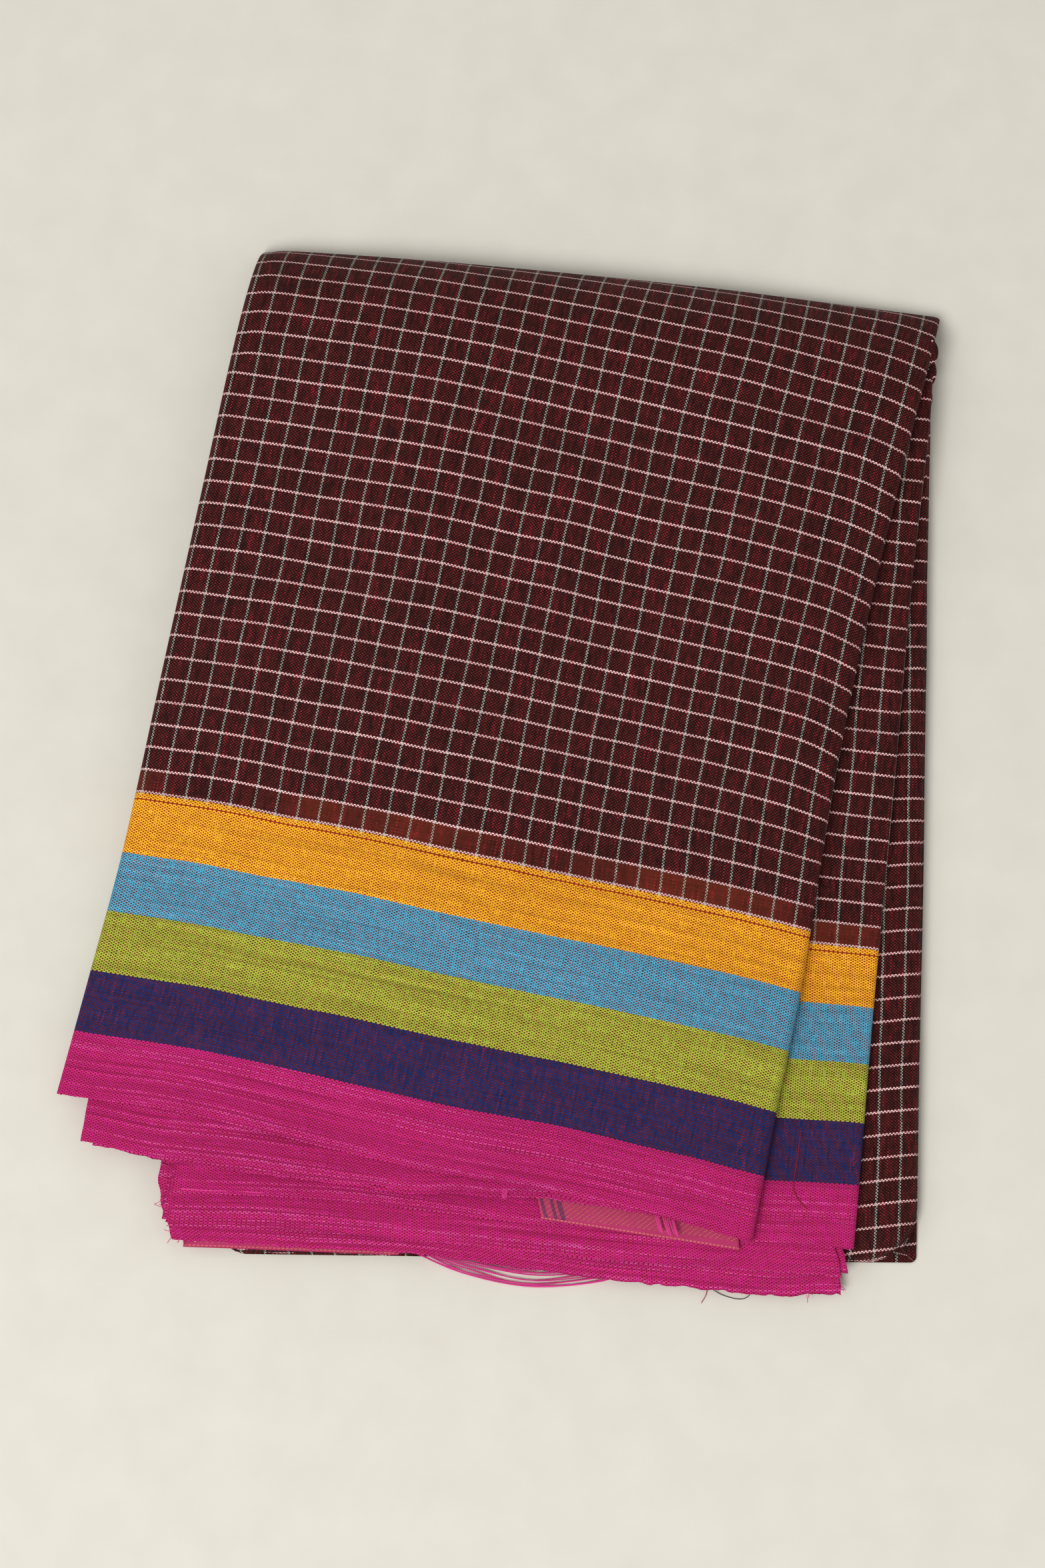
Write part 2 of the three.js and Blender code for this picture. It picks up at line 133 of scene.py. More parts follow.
packRun = farFold["run"] - (stack["second"] + stack["wallFull"] + stack["gap"] + stack["sheet"])

# Soft troughs and ridges of the whole pack: middle, heading in degrees, length, width, rise.
creases = [
    (-62, 92, 74, 90, 24, -0.8),
    (-18, 22, 101, 130, 22, 0.7),
    (44, 70, 83, 110, 20, -0.8),
    (84, 6, 78, 88, 17, 0.5),
    (-96, -40, 62, 70, 17, -0.6),
    (8, -84, -14, 120, 20, -0.7),
    (-30, 116, -8, 104, 20, -0.4),
    (72, 104, -4, 76, 15, 0.5),
]


def smooth(t):
    k = np.clip(t, 0, 1)
    return k * k * (3 - 2 * k)


def mix(a, b, t):
    return a + (b - a) * t


def insideOf(start, end, x, y):
    length = math.hypot(end[0] - start[0], end[1] - start[1])
    return ((end[0] - start[0]) * (y - start[1]) - (end[1] - start[1]) * (x - start[0])) / length


def hang(distance, rule):
    start, run, share = rule
    return 1 - share * smooth((start - distance) / run)


def creaseHeight(rows, x, y):
    height = 0 * x
    for midX, midY, heading, length, width, up in rows:
        turn = math.radians(heading)
        along = (x - midX) * math.cos(turn) + (y - midY) * math.sin(turn)
        across = (y - midY) * math.cos(turn) - (x - midX) * math.sin(turn)
        reach = np.exp(-((along / (length * 0.5)) ** 4))
        height = height + up * reach * np.exp(-((across / width) ** 2))
    return height


def restHeight(x, y):
    fromNear = insideOf(pack["nearLeft"], pack["nearRight"], x, y)
    fromRight = insideOf(pack["nearRight"], pack["farRight"], x, y)
    fromLeft = insideOf(pack["farLeft"], pack["nearLeft"], x, y)
    across = smooth(fromRight / (fromLeft + fromRight))
    nearEdge = mix(pack["edgeNearRight"], pack["edgeNearLeft"], across)
    farEdge = mix(pack["edgeNearRight"], pack["edgeFar"], across)
    edge = mix(nearEdge, farEdge, smooth(fromNear / (2 * pack["halfLength"])))
    crown = smooth(fromLeft / pack["crownLeft"]) * smooth(fromRight / pack["crownRight"])
    crown = crown * smooth(fromNear / pack["crownNear"])
    fall = hang(fromLeft, pack["hangLeft"]) * hang(fromNear, pack["hangNear"])
    return (edge + pack["crownRise"] * crown + creaseHeight(creases, x, y)) * fall


def stackWall(x, y):
    cornerX, cornerY = stack["thinCorner"]
    away = np.hypot(x - cornerX, y - cornerY)
    return mix(stack["wallCorner"], stack["wallFull"], smooth(away / stack["wallRun"]))


def topOver(x, y):
    return stack["second"] + stackWall(x, y) + stack["gap"] + stack["sheet"]


# A smooth edge through the ends of a flap's sections, with the length along it.
def edgeCurve(rows, first):
    p = np.array([row[first:first + 2] for row in rows], float)
    p = np.vstack([2 * p[0] - p[1], p, 2 * p[-1] - p[-2]])
    k = np.linspace(0, 1, 60)[:, None]
    places = []
    for a, b, c, d in zip(p, p[1:], p[2:], p[3:]):
        d0, d1, d2 = (np.linalg.norm(v) ** 0.5 for v in (b - a, c - b, d - c))
        m0 = ((b - a) / d0 - (c - a) / (d0 + d1) + (c - b) / d1) * d1
        m1 = ((c - b) / d1 - (d - b) / (d1 + d2) + (d - c) / d2) * d1
        places.append(b + m0 * k + (3 * (c - b) - 2 * m0 - m1) * k**2 + (2 * (b - c) + m0 + m1) * k**3)
    places = np.vstack(places)
    along = np.concatenate([[0], np.cumsum(np.linalg.norm(np.diff(places, axis=0), axis=1))])
    return places, along


def pointsAlong(curve, t):
    places, along = curve
    return np.stack([np.interp(t * along[-1], along, places[:, i]) for i in (0, 1)], axis=-1)


def tableValue(rows, at):
    spots = np.array(rows, float)
    i = np.clip(np.searchsorted(spots[:, 0], at, side="right") - 1, 0, len(spots) - 2)
    share = (at - spots[i, 0]) / (spots[i + 1, 0] - spots[i, 0])
    return mix(spots[i, 1], spots[i + 1, 1], smooth(share))


# How every flap is laid: its rows crowd towards the near edge, its columns towards the sides.
lay = {
    "crowd": 1.25,
    "bunch": 0.05,
    "bow": 2.0,
    "floorGap": 0.4,
    # The far left corner is worn round; its start and run are shares of the flap's length.
    "wornDepth": 3.4,
    "wornReach": 2.8,
    "wornFrom": 0.97,
    "wornRun": 0.03,
    # How far the unevenness of a raw edge reaches into the cloth.
    "nearReach": 1.6,
    "sideReach": 1.2,
}


# Loose threads make a raw edge uneven.
def roughEdge(dice, count):
    return np.convolve(dice.normal(0, 1, count), (0.25, 0.5, 0.25), "same")


# Places of a flap's cloth and the cloth's own measure at each, in rows from the near edge to the far fold.
def flapGrid(flap):
    leftEdge = edgeCurve(flap["sections"], 0)
    rightEdge = edgeCurve(flap["sections"], 2)
    deep = flap.get("deep", 1.0)
    t = np.linspace(0, 1, flap["rows"]) ** lay["crowd"] * deep
    turn = np.full(len(t), math.pi / 2)
    if deep == 1.0:
        around = np.linspace(math.pi / 2, flap["lastTurn"], flap["farRows"] + 1)[1:]
        t = np.concatenate([t, np.ones(len(around))])
        turn = np.concatenate([turn, around])
    t, turn = t[:, None], turn[:, None]
    left, right = pointsAlong(leftEdge, t[:, 0]), pointsAlong(rightEdge, t[:, 0])
    width = np.linalg.norm(right - left, axis=1)
    across = (right - left) / width[:, None]
    outward = np.stack([across[:, 1], -across[:, 0]], axis=1)
    leans = np.array(flap["lean"], float)
    clothWidth = float(np.mean(width))

    def at(distance):
        u = np.clip(distance / width[:, None], 0, 1)
        out = tableValue(flap["nearEdge"], u) * (1 - t) ** 4 - 4 * u * (1 - u) * lay["bow"] * t
        planX = left[:, 0:1] + across[:, 0:1] * distance + outward[:, 0:1] * out
        planY = left[:, 1:2] + across[:, 1:2] * distance + outward[:, 1:2] * out
        over = flap["over"](planX, planY) + flap.get("lift", lambda x, y, u, t: 0)(planX, planY, u, t)
        reach = (packRun + over) * np.cos(turn)
        x = planX + mix(leans[0, 0], leans[1, 0], u) * reach
        y = planY + mix(leans[0, 1], leans[1, 1], u) * reach
        z = (restHeight(x, y) + over) * np.sin(turn)
        along = t * mix(leftEdge[1][-1], rightEdge[1][-1], u)
        return np.stack([x, y, z], axis=-1), u * clothWidth, along

    leftFold = flap["leftFold"](left[:, 0], left[:, 1]) if "leftFold" in flap else 0 * width
    rightFold = flap["rightFold"](right[:, 0], right[:, 1]) if "rightFold" in flap else 0 * width
    share = np.linspace(0, 1, flap["columns"])
    share = share - lay["bunch"] * np.sin(2 * math.pi * share)
    places, u, v = at(leftFold[:, None] + (width - leftFold - rightFold)[:, None] * share)

    back = np.array([-farFold["normal"][0], -farFold["normal"][1]]) * lay["wornDepth"]
    worn = np.exp(-u / lay["wornReach"]) * smooth((t - lay["wornFrom"]) / lay["wornRun"])
    places[..., :2] += back * worn[..., None]
    if "ragged" in flap:
        near, side = flap["ragged"]
        dice = np.random.default_rng(len(share) + int(10 * near))
        push = (near * roughEdge(dice, len(share)))[None, :] * np.exp(-v / lay["nearReach"])
        places[..., :2] += outward[:, None, :] * push[..., None]
        rough = side * roughEdge(dice, len(t))
        fromRight = np.exp((u - clothWidth) / lay["sideReach"])
        push = rough[:, None] * np.exp(-u / lay["sideReach"]) - rough[::-1][:, None] * fromRight
        places[..., :2] -= across[:, None, :] * push[..., None]

    # Round a side fold the cloth follows half a turn, as far as the floor leaves room.
    def foldOver(edge, radius, side):
        radius = radius[:, None]
        room = np.clip((edge[:, 2:3] - lay["floorGap"]) / radius, 0.1, 2)
        most = np.arccos(1 - room)
        steps = np.linspace(1, 0, flap["foldSteps"], endpoint=False)[::-1][None, :]
        angle = most * steps
        out = side * radius * np.sin(angle)
        x = edge[:, 0:1] + across[:, 0:1] * out
        y = edge[:, 1:2] + across[:, 1:2] * out
        z = edge[:, 2:3] - radius * (1 - np.cos(angle))
        return np.stack([x, y, z], axis=-1), radius * angle

    if "rightFold" in flap:
        fold, arc = foldOver(places[:, -1], rightFold, 1)
        places = np.concatenate([places, fold], axis=1)
        v = np.concatenate([v, np.repeat(v[:, -1:], arc.shape[1], axis=1)], axis=1)
        u = np.concatenate([u, u[:, -1:] + arc], axis=1)
    if "leftFold" in flap:
        fold, arc = foldOver(places[:, 0], leftFold, -1)
        places = np.concatenate([fold[:, ::-1], places], axis=1)
        v = np.concatenate([np.repeat(v[:, :1], arc.shape[1], axis=1), v], axis=1)
        u = np.concatenate([u[:, :1] - arc[:, ::-1], u], axis=1)

    # The checks bend towards the near edge where the cloth turns over its right side.
    if "bend" in flap:
        drop, run, start, end = flap["bend"]
        rightOf = np.clip(1 - (u[:, -1:] - u) / run, 0, 1)
        v = v + drop * rightOf**2 * smooth((t - start) / (end - start))

    # Past the shoulder the cloth's length runs on round the far fold.
    if deep == 1.0:
        first = flap["rows"]
        steps = np.linalg.norm(np.diff(places[first - 1:], axis=0), axis=2)
        v[first:] = v[first - 1] + np.cumsum(steps, axis=0)
    return places, u + flap.get("uStart", 0), v * flap.get("vScale", 1) + flap.get("vStart", 0)


# A grid primitive with its points moved to a sheet's places and its UV map in millimetres of cloth.
def gridPiece(name, places, u, v, closed=False):
    rows, columns = places.shape[:2]
    bpy.ops.object.select_all(action="DESELECT")
    bpy.ops.mesh.primitive_grid_add(x_subdivisions=columns - 1, y_subdivisions=rows - 1, size=1)
    piece = bpy.context.object
    piece.name = name
    piece.data.name = name
    cloth = piece.data
    spots = (places + toOrigin) * mm
    cloth.vertices.foreach_set("co", spots.reshape(-1).astype(np.float32))
    uv = cloth.uv_layers[0]
    uv.name = "cloth"
    corners = np.zeros(len(cloth.loops), np.int32)
    cloth.loops.foreach_get("vertex_index", corners)
    measure = np.stack([u.reshape(-1), v.reshape(-1)], axis=-1)[corners]
    uv.data.foreach_set("uv", measure.reshape(-1).astype(np.float32))
    cloth.update()
    if closed:
        bpy.ops.object.mode_set(mode="EDIT")
        bpy.ops.mesh.select_all(action="SELECT")
        bpy.ops.mesh.remove_doubles(threshold=0.00001)
        bpy.ops.mesh.normals_make_consistent(inside=False)
        bpy.ops.object.mode_set(mode="OBJECT")
    bpy.ops.object.shade_smooth()
    return piece


def addWall(piece, wall):
    solid = piece.modifiers.new("wall", "SOLIDIFY")
    solid.thickness = wall * mm
    solid.offset = -1
    solid.use_even_offset = False
    bpy.ops.object.select_all(action="DESELECT")
    piece.select_set(True)
    bpy.context.view_layer.objects.active = piece
    bpy.ops.object.modifier_apply(modifier=solid.name)


# Flat size of a sheet from its own measure: width, length and the area of the cut.
def flatSize(u, v):
    au, av = np.diff(u, axis=1)[:-1], np.diff(v, axis=1)[:-1]
    bu, bv = np.diff(u, axis=0)[:, :-1], np.diff(v, axis=0)[:, :-1]
    area = float(np.abs(au * bv - av * bu).sum()) * mm * mm
    wide, deep = float(np.ptp(u)) * mm, float(np.ptp(v)) * mm
    return (wide, deep), min(area, wide * deep)


# Shader helpers: colours are given as seen on the cloth, 0 to 255.
def paint(r, g, b):
    return tuple(((c / 255 + 0.055) / 1.055) ** 2.4 if c > 10 else c / 3294 for c in (r, g, b)) + (1,)


def wire(tree, value, socket):
    if isinstance(value, bpy.types.NodeSocket):
        tree.links.new(value, socket)
    else:
        socket.default_value = value


def wireAll(tree, node, values):
    for name, value in values.items():
        wire(tree, value, node.inputs[name])


def calc(tree, operation, *values):
    node = tree.nodes.new("ShaderNodeMath")
    node.operation = operation
    for value, socket in zip(values, node.inputs):
        wire(tree, value, socket)
    return node.outputs[0]


def chain(tree, operation, values):
    result = values[0]
    for value in values[1:]:
        result = calc(tree, operation, result, value)
    return result


def plus(tree, *values):
    return chain(tree, "ADD", values)


def times(tree, *values):
    return chain(tree, "MULTIPLY", values)


def minus(tree, a, b):
    return calc(tree, "SUBTRACT", a, b)


def scaled(tree, value, factor, base):
    return calc(tree, "MULTIPLY_ADD", value, factor, base)


def blendColour(tree, share, a, b, blend="MIX"):
    node = tree.nodes.new("ShaderNodeMix")
    node.data_type = "RGBA"
    node.blend_type = blend
    for value, socket in zip((share, a, b), (node.inputs[0], node.inputs[6], node.inputs[7])):
        wire(tree, value, socket)
    return node.outputs[2]


def between(tree, value, low, high):
    node = tree.nodes.new("ShaderNodeMapRange")
    node.interpolation_type = "SMOOTHSTEP"
    for v, socket in zip((value, low, high), node.inputs):
        wire(tree, v, socket)
    return node.outputs[0]


def vectorOf(tree, x, y, z=0.0):
    node = tree.nodes.new("ShaderNodeCombineXYZ")
    for value, socket in zip((x, y, z), node.inputs):
        wire(tree, value, socket)
    return node.outputs[0]


def uvParts(tree, vector):
    split = tree.nodes.new("ShaderNodeSeparateXYZ")
    tree.links.new(vector, split.inputs[0])
    return split.outputs[0], split.outputs[1]


def cloudy(tree, vector, scale, detail=1.0):
    node = tree.nodes.new("ShaderNodeTexNoise")
    node.noise_dimensions = "2D"
    wireAll(tree, node, {"Vector": vector, "Scale": scale, "Detail": detail})
    return node.outputs["Fac"]


# Noise drawn out along the yarns: a rule gives its scale in each direction, then its detail.
def streaky(tree, first, second, rule):
    firstScale, secondScale, detail = rule
    place = vectorOf(tree, times(tree, first, firstScale), times(tree, second, secondScale))
    return cloudy(tree, place, 1.0, detail)


def newGroup(name, inputs, outputs):
    tree = bpy.data.node_groups.new(name, "ShaderNodeTree")
    for label, kind, value in inputs:
        socket = tree.interface.new_socket(label, in_out="INPUT", socket_type=kind)
        if value is not None:
            socket.default_value = value
    for label, kind in outputs:
        tree.interface.new_socket(label, in_out="OUTPUT", socket_type=kind)
    return tree, tree.nodes.new("NodeGroupInput"), tree.nodes.new("NodeGroupOutput")


def newMaterial(name):
    material = bpy.data.materials.new(name)
    material.use_nodes = True
    return material, material.node_tree, material.node_tree.nodes["Principled BSDF"]


def clothMap(tree):
    uv = tree.nodes.new("ShaderNodeUVMap")
    uv.uv_map = "cloth"
    return uv.outputs[0]


def addBump(tree, shader, height, depth, strength=1.0):
    bump = tree.nodes.new("ShaderNodeBump")
    wireAll(tree, bump, {"Strength": strength, "Distance": depth * mm, "Height": height})
    tree.links.new(bump.outputs[0], shader.inputs["Normal"])


weave = {
    "check": 7.77,
    "warpInCheck": 15,
    "weftInCheck": 13,
    "borderTop": 104.1,
    "borderWarp": 0.4673,
    "borderWeft": 0.777,
    # Where each band starts, counted from the selvedge, and its warp's colour.
    "bands": [
        (0.0, (202, 38, 125)),
        (21.6, (22, 41, 98)),
        (42.4, (176, 188, 66)),
        (63.0, (84, 174, 208)),
        (83.1, (255, 182, 42)),
        (101.6, (150, 50, 20)),
        (102.05, (255, 184, 42)),
    ],
    "bandSpan": 120.0,
    "selvedge": 21.6,
    "orangeFrom": 83.1,
    "hookFrom": -0.9,
    # Half widths of the white yarn pairs, in yarns.
    "whiteColumn": 0.6,
    "whiteRow": 0.76,
    "colours": {
        "bodyWarp": (20, 11, 11),
        "bodyWeft": (104, 33, 33),
        "redWeft": (106, 30, 26),
        "redFleck": (190, 34, 56),
        "deepFleck": (46, 14, 20),
        "selvedgeWeft": (142, 14, 40),
        "orangeWeft": (172, 56, 22),
        "white": (182, 182, 172),
        "pinkWhite": (246, 207, 206),
        "rust": (112, 46, 18),
        "hook": (236, 214, 160),
        "lightPick": (240, 110, 190),
        "darkPick": (150, 14, 70),
    },
    # How yarns stray: noise scale and millimetres. Then their heights, in yarn widths.
    "lie": {
        "shortSway": (0.035, 1.2),
        "longSway": (0.009, 3.0),
        "shortDip": (0.03, 0.8),
        "longDip": (0.008, 1.8),
        "crown": 0.55,
        "crownFall": -2.2,
        "wave": 0.5,
        "bodyLead": 0.14,
        "borderLead": 0.5,
        "weftRide": 1.6,
        "blur": 0.12,
        "slub": 0.8,
    },
    # Noise over the cloth: scale along its first direction, along its second, and detail.
    "noise": {
        "warp": (0.009, 3.73, 2.0),
        "weft": (3.71, 0.09, 2.0),
        "band": (0.006, 0.3, 2.0),
        "short": (0.03, 3.17, 2.0),
        "dash": (0.28, 2.93, 1.0),
        "slub": (0.12, 0.71, 1.0),
        "ride": (2.37, 0.35, 1.0),
        "rust": (0.018, 0.0, 1.0),
    },
    # Where an effect starts to show, and where it shows in full.
    "shows": {
        "lightPick": (0.53, 0.7),
        "dash": (0.4, 0.58),
        "darkPick": (0.45, 0.28),
        "redFleck": (0.55, 0.72),
        "deepFleck": (0.46, 0.3),
        "slub": (0.72, 0.8),
        "rust": (0.38, 0.6),
        # From this yarn height up, the painted shade between the yarns lightens towards the crowns.
        "yarnTop": (0.2, 1.0),
    },
    # How strong each effect is; a pair is a factor and a base.
    "strength": {
        "rust": 0.85,
        "lightPick": 0.36,
        "darkPick": 0.3,
        "dash": (0.7, 0.3),
        "redFleck": (0.15, 0.2),
        "deepFleck": 0.5,
        "selvedgeWeft": 0.8,
        "orangeWeft": 0.6,
        "paintedGapShade": (0.4, 0.64),
        "shortShade": 0.6,
        "bandShade": (-0.3, 0.5),
        "ownShade": (0.5, 0.75),
        "slubShade": 0.25,
        "roughness": (0.25, 0.66),
    },
}


# Plain weave of the whole sari: five-band border at the selvedge, fine checks above it.
def makeWeaveGroup():
    tree, inside, out = newGroup(
        "sariWeave",
        [("Cloth", "NodeSocketVector", None), ("Streaks", "NodeSocketFloat", 1.0)],
        [("Color", "NodeSocketColor"), ("Height", "NodeSocketFloat"), ("Roughness", "NodeSocketFloat")],
    )
    colours, lie, noise = weave["colours"], weave["lie"], weave["noise"]
    shows, strength = weave["shows"], weave["strength"]
    cloth, streakShare = inside.outputs["Cloth"], inside.outputs["Streaks"]
    u, v = uvParts(tree, cloth)
    swapped = vectorOf(tree, v, u)

    # No thread lies quite straight.
    def stray(vector, rule):
        scale, size = rule
        return scaled(tree, cloudy(tree, vector, scale), size, -size / 2)

    sway = plus(tree, stray(cloth, lie["shortSway"]), stray(swapped, lie["longSway"]))
    dip = plus(tree, stray(swapped, lie["shortDip"]), stray(cloth, lie["longDip"]))
    u, v = plus(tree, u, sway), plus(tree, v, dip)
    body = calc(tree, "GREATER_THAN", v, weave["borderTop"])
    border = minus(tree, 1.0, body)
    inSelvedge = calc(tree, "LESS_THAN", v, weave["selvedge"])

    # Yarns stand further apart in the border; each is counted from the border's top edge.
    weftPitch = weave["check"] / weave["weftInCheck"]
    warpPitch = weave["check"] / weave["warpInCheck"]
    weftSpace = scaled(tree, body, weftPitch - weave["borderWeft"], weave["borderWeft"])
    warpSpace = scaled(tree, body, warpPitch - weave["borderWarp"], weave["borderWarp"])
    fromTop = minus(tree, v, weave["borderTop"])
    cu, cv = calc(tree, "DIVIDE", u, weftSpace), calc(tree, "DIVIDE", fromTop, warpSpace)
    i, j = calc(tree, "FLOOR", cu), calc(tree, "FLOOR", cv)

    def crown(c):
        off = minus(tree, calc(tree, "FRACT", c), 0.5)
        return scaled(tree, times(tree, off, off), lie["crownFall"], lie["crown"])

    def overUnder(c, other, sign):
        turn = times(tree, plus(tree, minus(tree, c, 0.5), other), math.pi)
        return times(tree, calc(tree, "COSINE", turn), lie["wave"] * sign)

    # Where a weft yarn rides high, it shows as a fleck.
    ride = scaled(tree, streaky(tree, i, v, noise["ride"]), lie["weftRide"], -lie["weftRide"] / 2)
    lead = scaled(tree, body, lie["bodyLead"] - lie["borderLead"], lie["borderLead"])
    warpHeight = plus(tree, overUnder(cu, j, 1), crown(cv), lead)
    weftHeight = plus(tree, overUnder(cv, i, -1), crown(cu), ride)
    warpOnTop = between(tree, minus(tree, warpHeight, weftHeight), -lie["blur"], lie["blur"])
    height = calc(tree, "MAXIMUM", warpHeight, weftHeight)

    # Colour runs in streaks along each yarn, a little different from its neighbour.
    warpStreak = streaky(tree, u, j, noise["warp"])
    weftStreak = streaky(tree, i, v, noise["weft"])
    bandStreak = streaky(tree, u, v, noise["band"])
    shortStreak = streaky(tree, u, j, noise["short"])
    dash = between(tree, streaky(tree, u, j, noise["dash"]), *shows["dash"])
    slub = between(tree, streaky(tree, u, j, noise["slub"]), *shows["slub"])

    def tinted(share, base, name):
        return blendColour(tree, share, base, paint(*colours[name]))

    # Two white yarns start each check, a little finer than the rest.
    def whitePair(c, count, half):
        place = minus(tree, calc(tree, "FLOORED_MODULO", c, count), 1.0)
        return calc(tree, "LESS_THAN", calc(tree, "ABSOLUTE", place), half)

    bodyColumn = calc(tree, "DIVIDE", u, weftPitch)
    whiteColumn = whitePair(bodyColumn, weave["weftInCheck"], weave["whiteColumn"])
    whiteRow = times(tree, whitePair(cv, weave["warpInCheck"], weave["whiteRow"]), body)
    bodyWarp = tinted(whiteRow, paint(*colours["bodyWarp"]), "pinkWhite")
    # The first checks above the border take up some rust.
    nearBorder = calc(tree, "LESS_THAN", fromTop, weave["check"])
    rusty = between(tree, streaky(tree, u, v, noise["rust"]), *shows["rust"])
    notWhite = minus(tree, 1.0, whiteRow)
    bodyWarp = tinted(times(tree, rusty, nearBorder, strength["rust"], notWhite), bodyWarp, "rust")

    ramp = tree.nodes.new("ShaderNodeValToRGB")
    ramp.color_ramp.interpolation = "CONSTANT"
    for n, (start, colour) in enumerate(weave["bands"]):
        place = start / weave["bandSpan"]
        spot = ramp.color_ramp.elements[n] if n < 2 else ramp.color_ramp.elements.new(place)
        spot.position = place
        spot.color = paint(*colour)
    yarnPlace = scaled(tree, plus(tree, j, 0.5), weave["borderWarp"], weave["borderTop"])
    tree.links.new(calc(tree, "DIVIDE", yarnPlace, weave["bandSpan"]), ramp.inputs[0])
    warpColour = blendColour(tree, body, ramp.outputs["Color"], bodyWarp)

    pick = times(tree, inSelvedge, streakShare)
    light = between(tree, warpStreak, *shows["lightPick"])
    light = times(tree, light, scaled(tree, dash, *strength["dash"]))
    warpColour = tinted(times(tree, light, pick, strength["lightPick"]), warpColour, "lightPick")
    dark = between(tree, warpStreak, *shows["darkPick"])
    warpColour = tinted(times(tree, dark, pick, strength["darkPick"]), warpColour, "darkPick")

    weftPlain = tinted(body, paint(*colours["redWeft"]), "bodyWeft")
    redFleck = between(tree, weftStreak, *shows["redFleck"])
    redFleck = times(tree, scaled(tree, body, *strength["redFleck"]), redFleck)
    weftPlain = tinted(redFleck, weftPlain, "redFleck")
    deepFleck = between(tree, weftStreak, *shows["deepFleck"])
    weftPlain = tinted(times(tree, deepFleck, strength["deepFleck"]), weftPlain, "deepFleck")
    # The weft looks brighter beside magenta and orange warps.
    weftPlain = tinted(times(tree, inSelvedge, strength["selvedgeWeft"]), weftPlain, "selvedgeWeft")
    inOrange = times(tree, calc(tree, "GREATER_THAN", v, weave["orangeFrom"]), border)
    weftPlain = tinted(times(tree, inOrange, strength["orangeWeft"]), weftPlain, "orangeWeft")
    hookTop = calc(tree, "GREATER_THAN", fromTop, weave["hookFrom"])
    whiteHere = times(tree, whiteColumn, calc(tree, "MAXIMUM", body, hookTop))
    whiteWeft = tinted(body, paint(*colours["hook"]), "white")
    weftColour = blendColour(tree, whiteHere, weftPlain, whiteWeft)
    colour = blendColour(tree, warpOnTop, weftColour, warpColour)

    # Painted shade: darker between the yarns and lighter on their crowns. Each yarn has a tone of its own;
    # broad streaks are fainter in the selvedge.
    paintedGapShade = scaled(tree, between(tree, height, *shows["yarnTop"]), *strength["paintedGapShade"])
    shortShade = scaled(tree, minus(tree, shortStreak, 0.5), strength["shortShade"], 1.0)
    factor, base = strength["ownShade"]
    bandDepth = scaled(tree, inSelvedge, *strength["bandShade"])
    bandShade = scaled(tree, minus(tree, bandStreak, 0.5), bandDepth, base)
    ownWarp = scaled(tree, warpStreak, factor, bandShade)
    ownWeft = scaled(tree, weftStreak, factor, base)
    own = scaled(tree, minus(tree, ownWarp, ownWeft), warpOnTop, ownWeft)
    toneAndPaintedShade = plus(tree, times(tree, paintedGapShade, shortShade, own), times(tree, slub, strength["slubShade"]))
    colour = blendColour(tree, 1.0, colour, vectorOf(tree, toneAndPaintedShade, toneAndPaintedShade, toneAndPaintedShade), "MULTIPLY")
    relief = plus(tree, height, times(tree, slub, lie["slub"]))
    roughness = scaled(tree, warpStreak, *strength["roughness"])
    wireAll(tree, out, {"Color": colour, "Height": relief, "Roughness": roughness})
    return tree


weaveGroup = makeWeaveGroup()

clothLooks = {
    "bumpStrength": 0.7,
    "sheenRoughness": 0.5,
    "specular": 0.12,
    "checkedCotton": {"streaks": 1.0, "sheen": 0.02, "bumpDepth": 0.12},
    "magentaSelvedge": {"streaks": 1.3, "sheen": 0.04, "bumpDepth": 0.14},
}


def clothMaterial(name):
    look = clothLooks[name]
    material, tree, shader = newMaterial(name)
    group = tree.nodes.new("ShaderNodeGroup")
    group.node_tree = weaveGroup
    wireAll(tree, group, {"Cloth": clothMap(tree), "Streaks": look["streaks"]})
    wireAll(tree, shader, {
        "Base Color": group.outputs["Color"],
        "Roughness": group.outputs["Roughness"],
        "Sheen Weight": look["sheen"],
        "Sheen Roughness": clothLooks["sheenRoughness"],
        "Specular IOR Level": clothLooks["specular"],
    })
    addBump(tree, shader, group.outputs["Height"], look["bumpDepth"], clothLooks["bumpStrength"])
    return material


checkedCotton = clothMaterial("checkedCotton")
magentaSelvedge = clothMaterial("magentaSelvedge")
print("weave made")


def finishPiece(piece, material, slotName, *nodes):
    piece.data.materials.clear()
    piece.data.materials.append(material)
    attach(piece, "root")
    if nodes:
        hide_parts(*nodes)


def makeFlap(name, flap, material, slotName, node, restsOn, extras):
    places, u, v = flapGrid(flap)
    piece = gridPiece(name, places, u, v)
    addWall(piece, flap["cloth"])
    finishPiece(piece, material, slotName, node)


innerLean = ((0.1, 0.995), (0.09, 0.996))
topLean = ((0.2009, 0.9844), (0.2664, 0.9775))

# Light waves lift a flap's near edge: place along it, rise, width. Small soft dents lie over the top flap.
topWaves = [
    (0.06, 0.5, 0.06),
    (0.33, 0.9, 0.06),
    (0.47, 0.4, 0.05),
    (0.62, 1.1, 0.07),
    (0.8, 0.5, 0.05),
    (0.93, 0.8, 0.05),
]
topDents = [
    (-104, -30, 20, 46, 7, 0.35),
    (-58, -62, -16, 60, 6, 0.4),
    (-6, -44, -9, 52, 7, 0.3),
    (40, -100, -12, 58, 6, 0.45),
    (58, -20, 74, 70, 7, 0.35),
    (-84, 44, 78, 62, 8, 0.4),
    (-30, 66, 83, 80, 7, 0.35),
    (18, 96, 70, 66, 8, 0.4),
    (90, 72, 84, 60, 7, 0.3),
    (-60, 128, 12, 58, 7, 0.35),
    (40, 132, -5, 70, 6, 0.3),
    (100, 118, -18, 40, 7, 0.35),
    (-120, -78, 64, 44, 7, 0.45),
    (-30, -118, -12, 66, 7, 0.4),
]
secondWaves = [(0.3, 0.3, 0.06), (0.55, 0.25, 0.05), (0.86, 0.3, 0.06)]
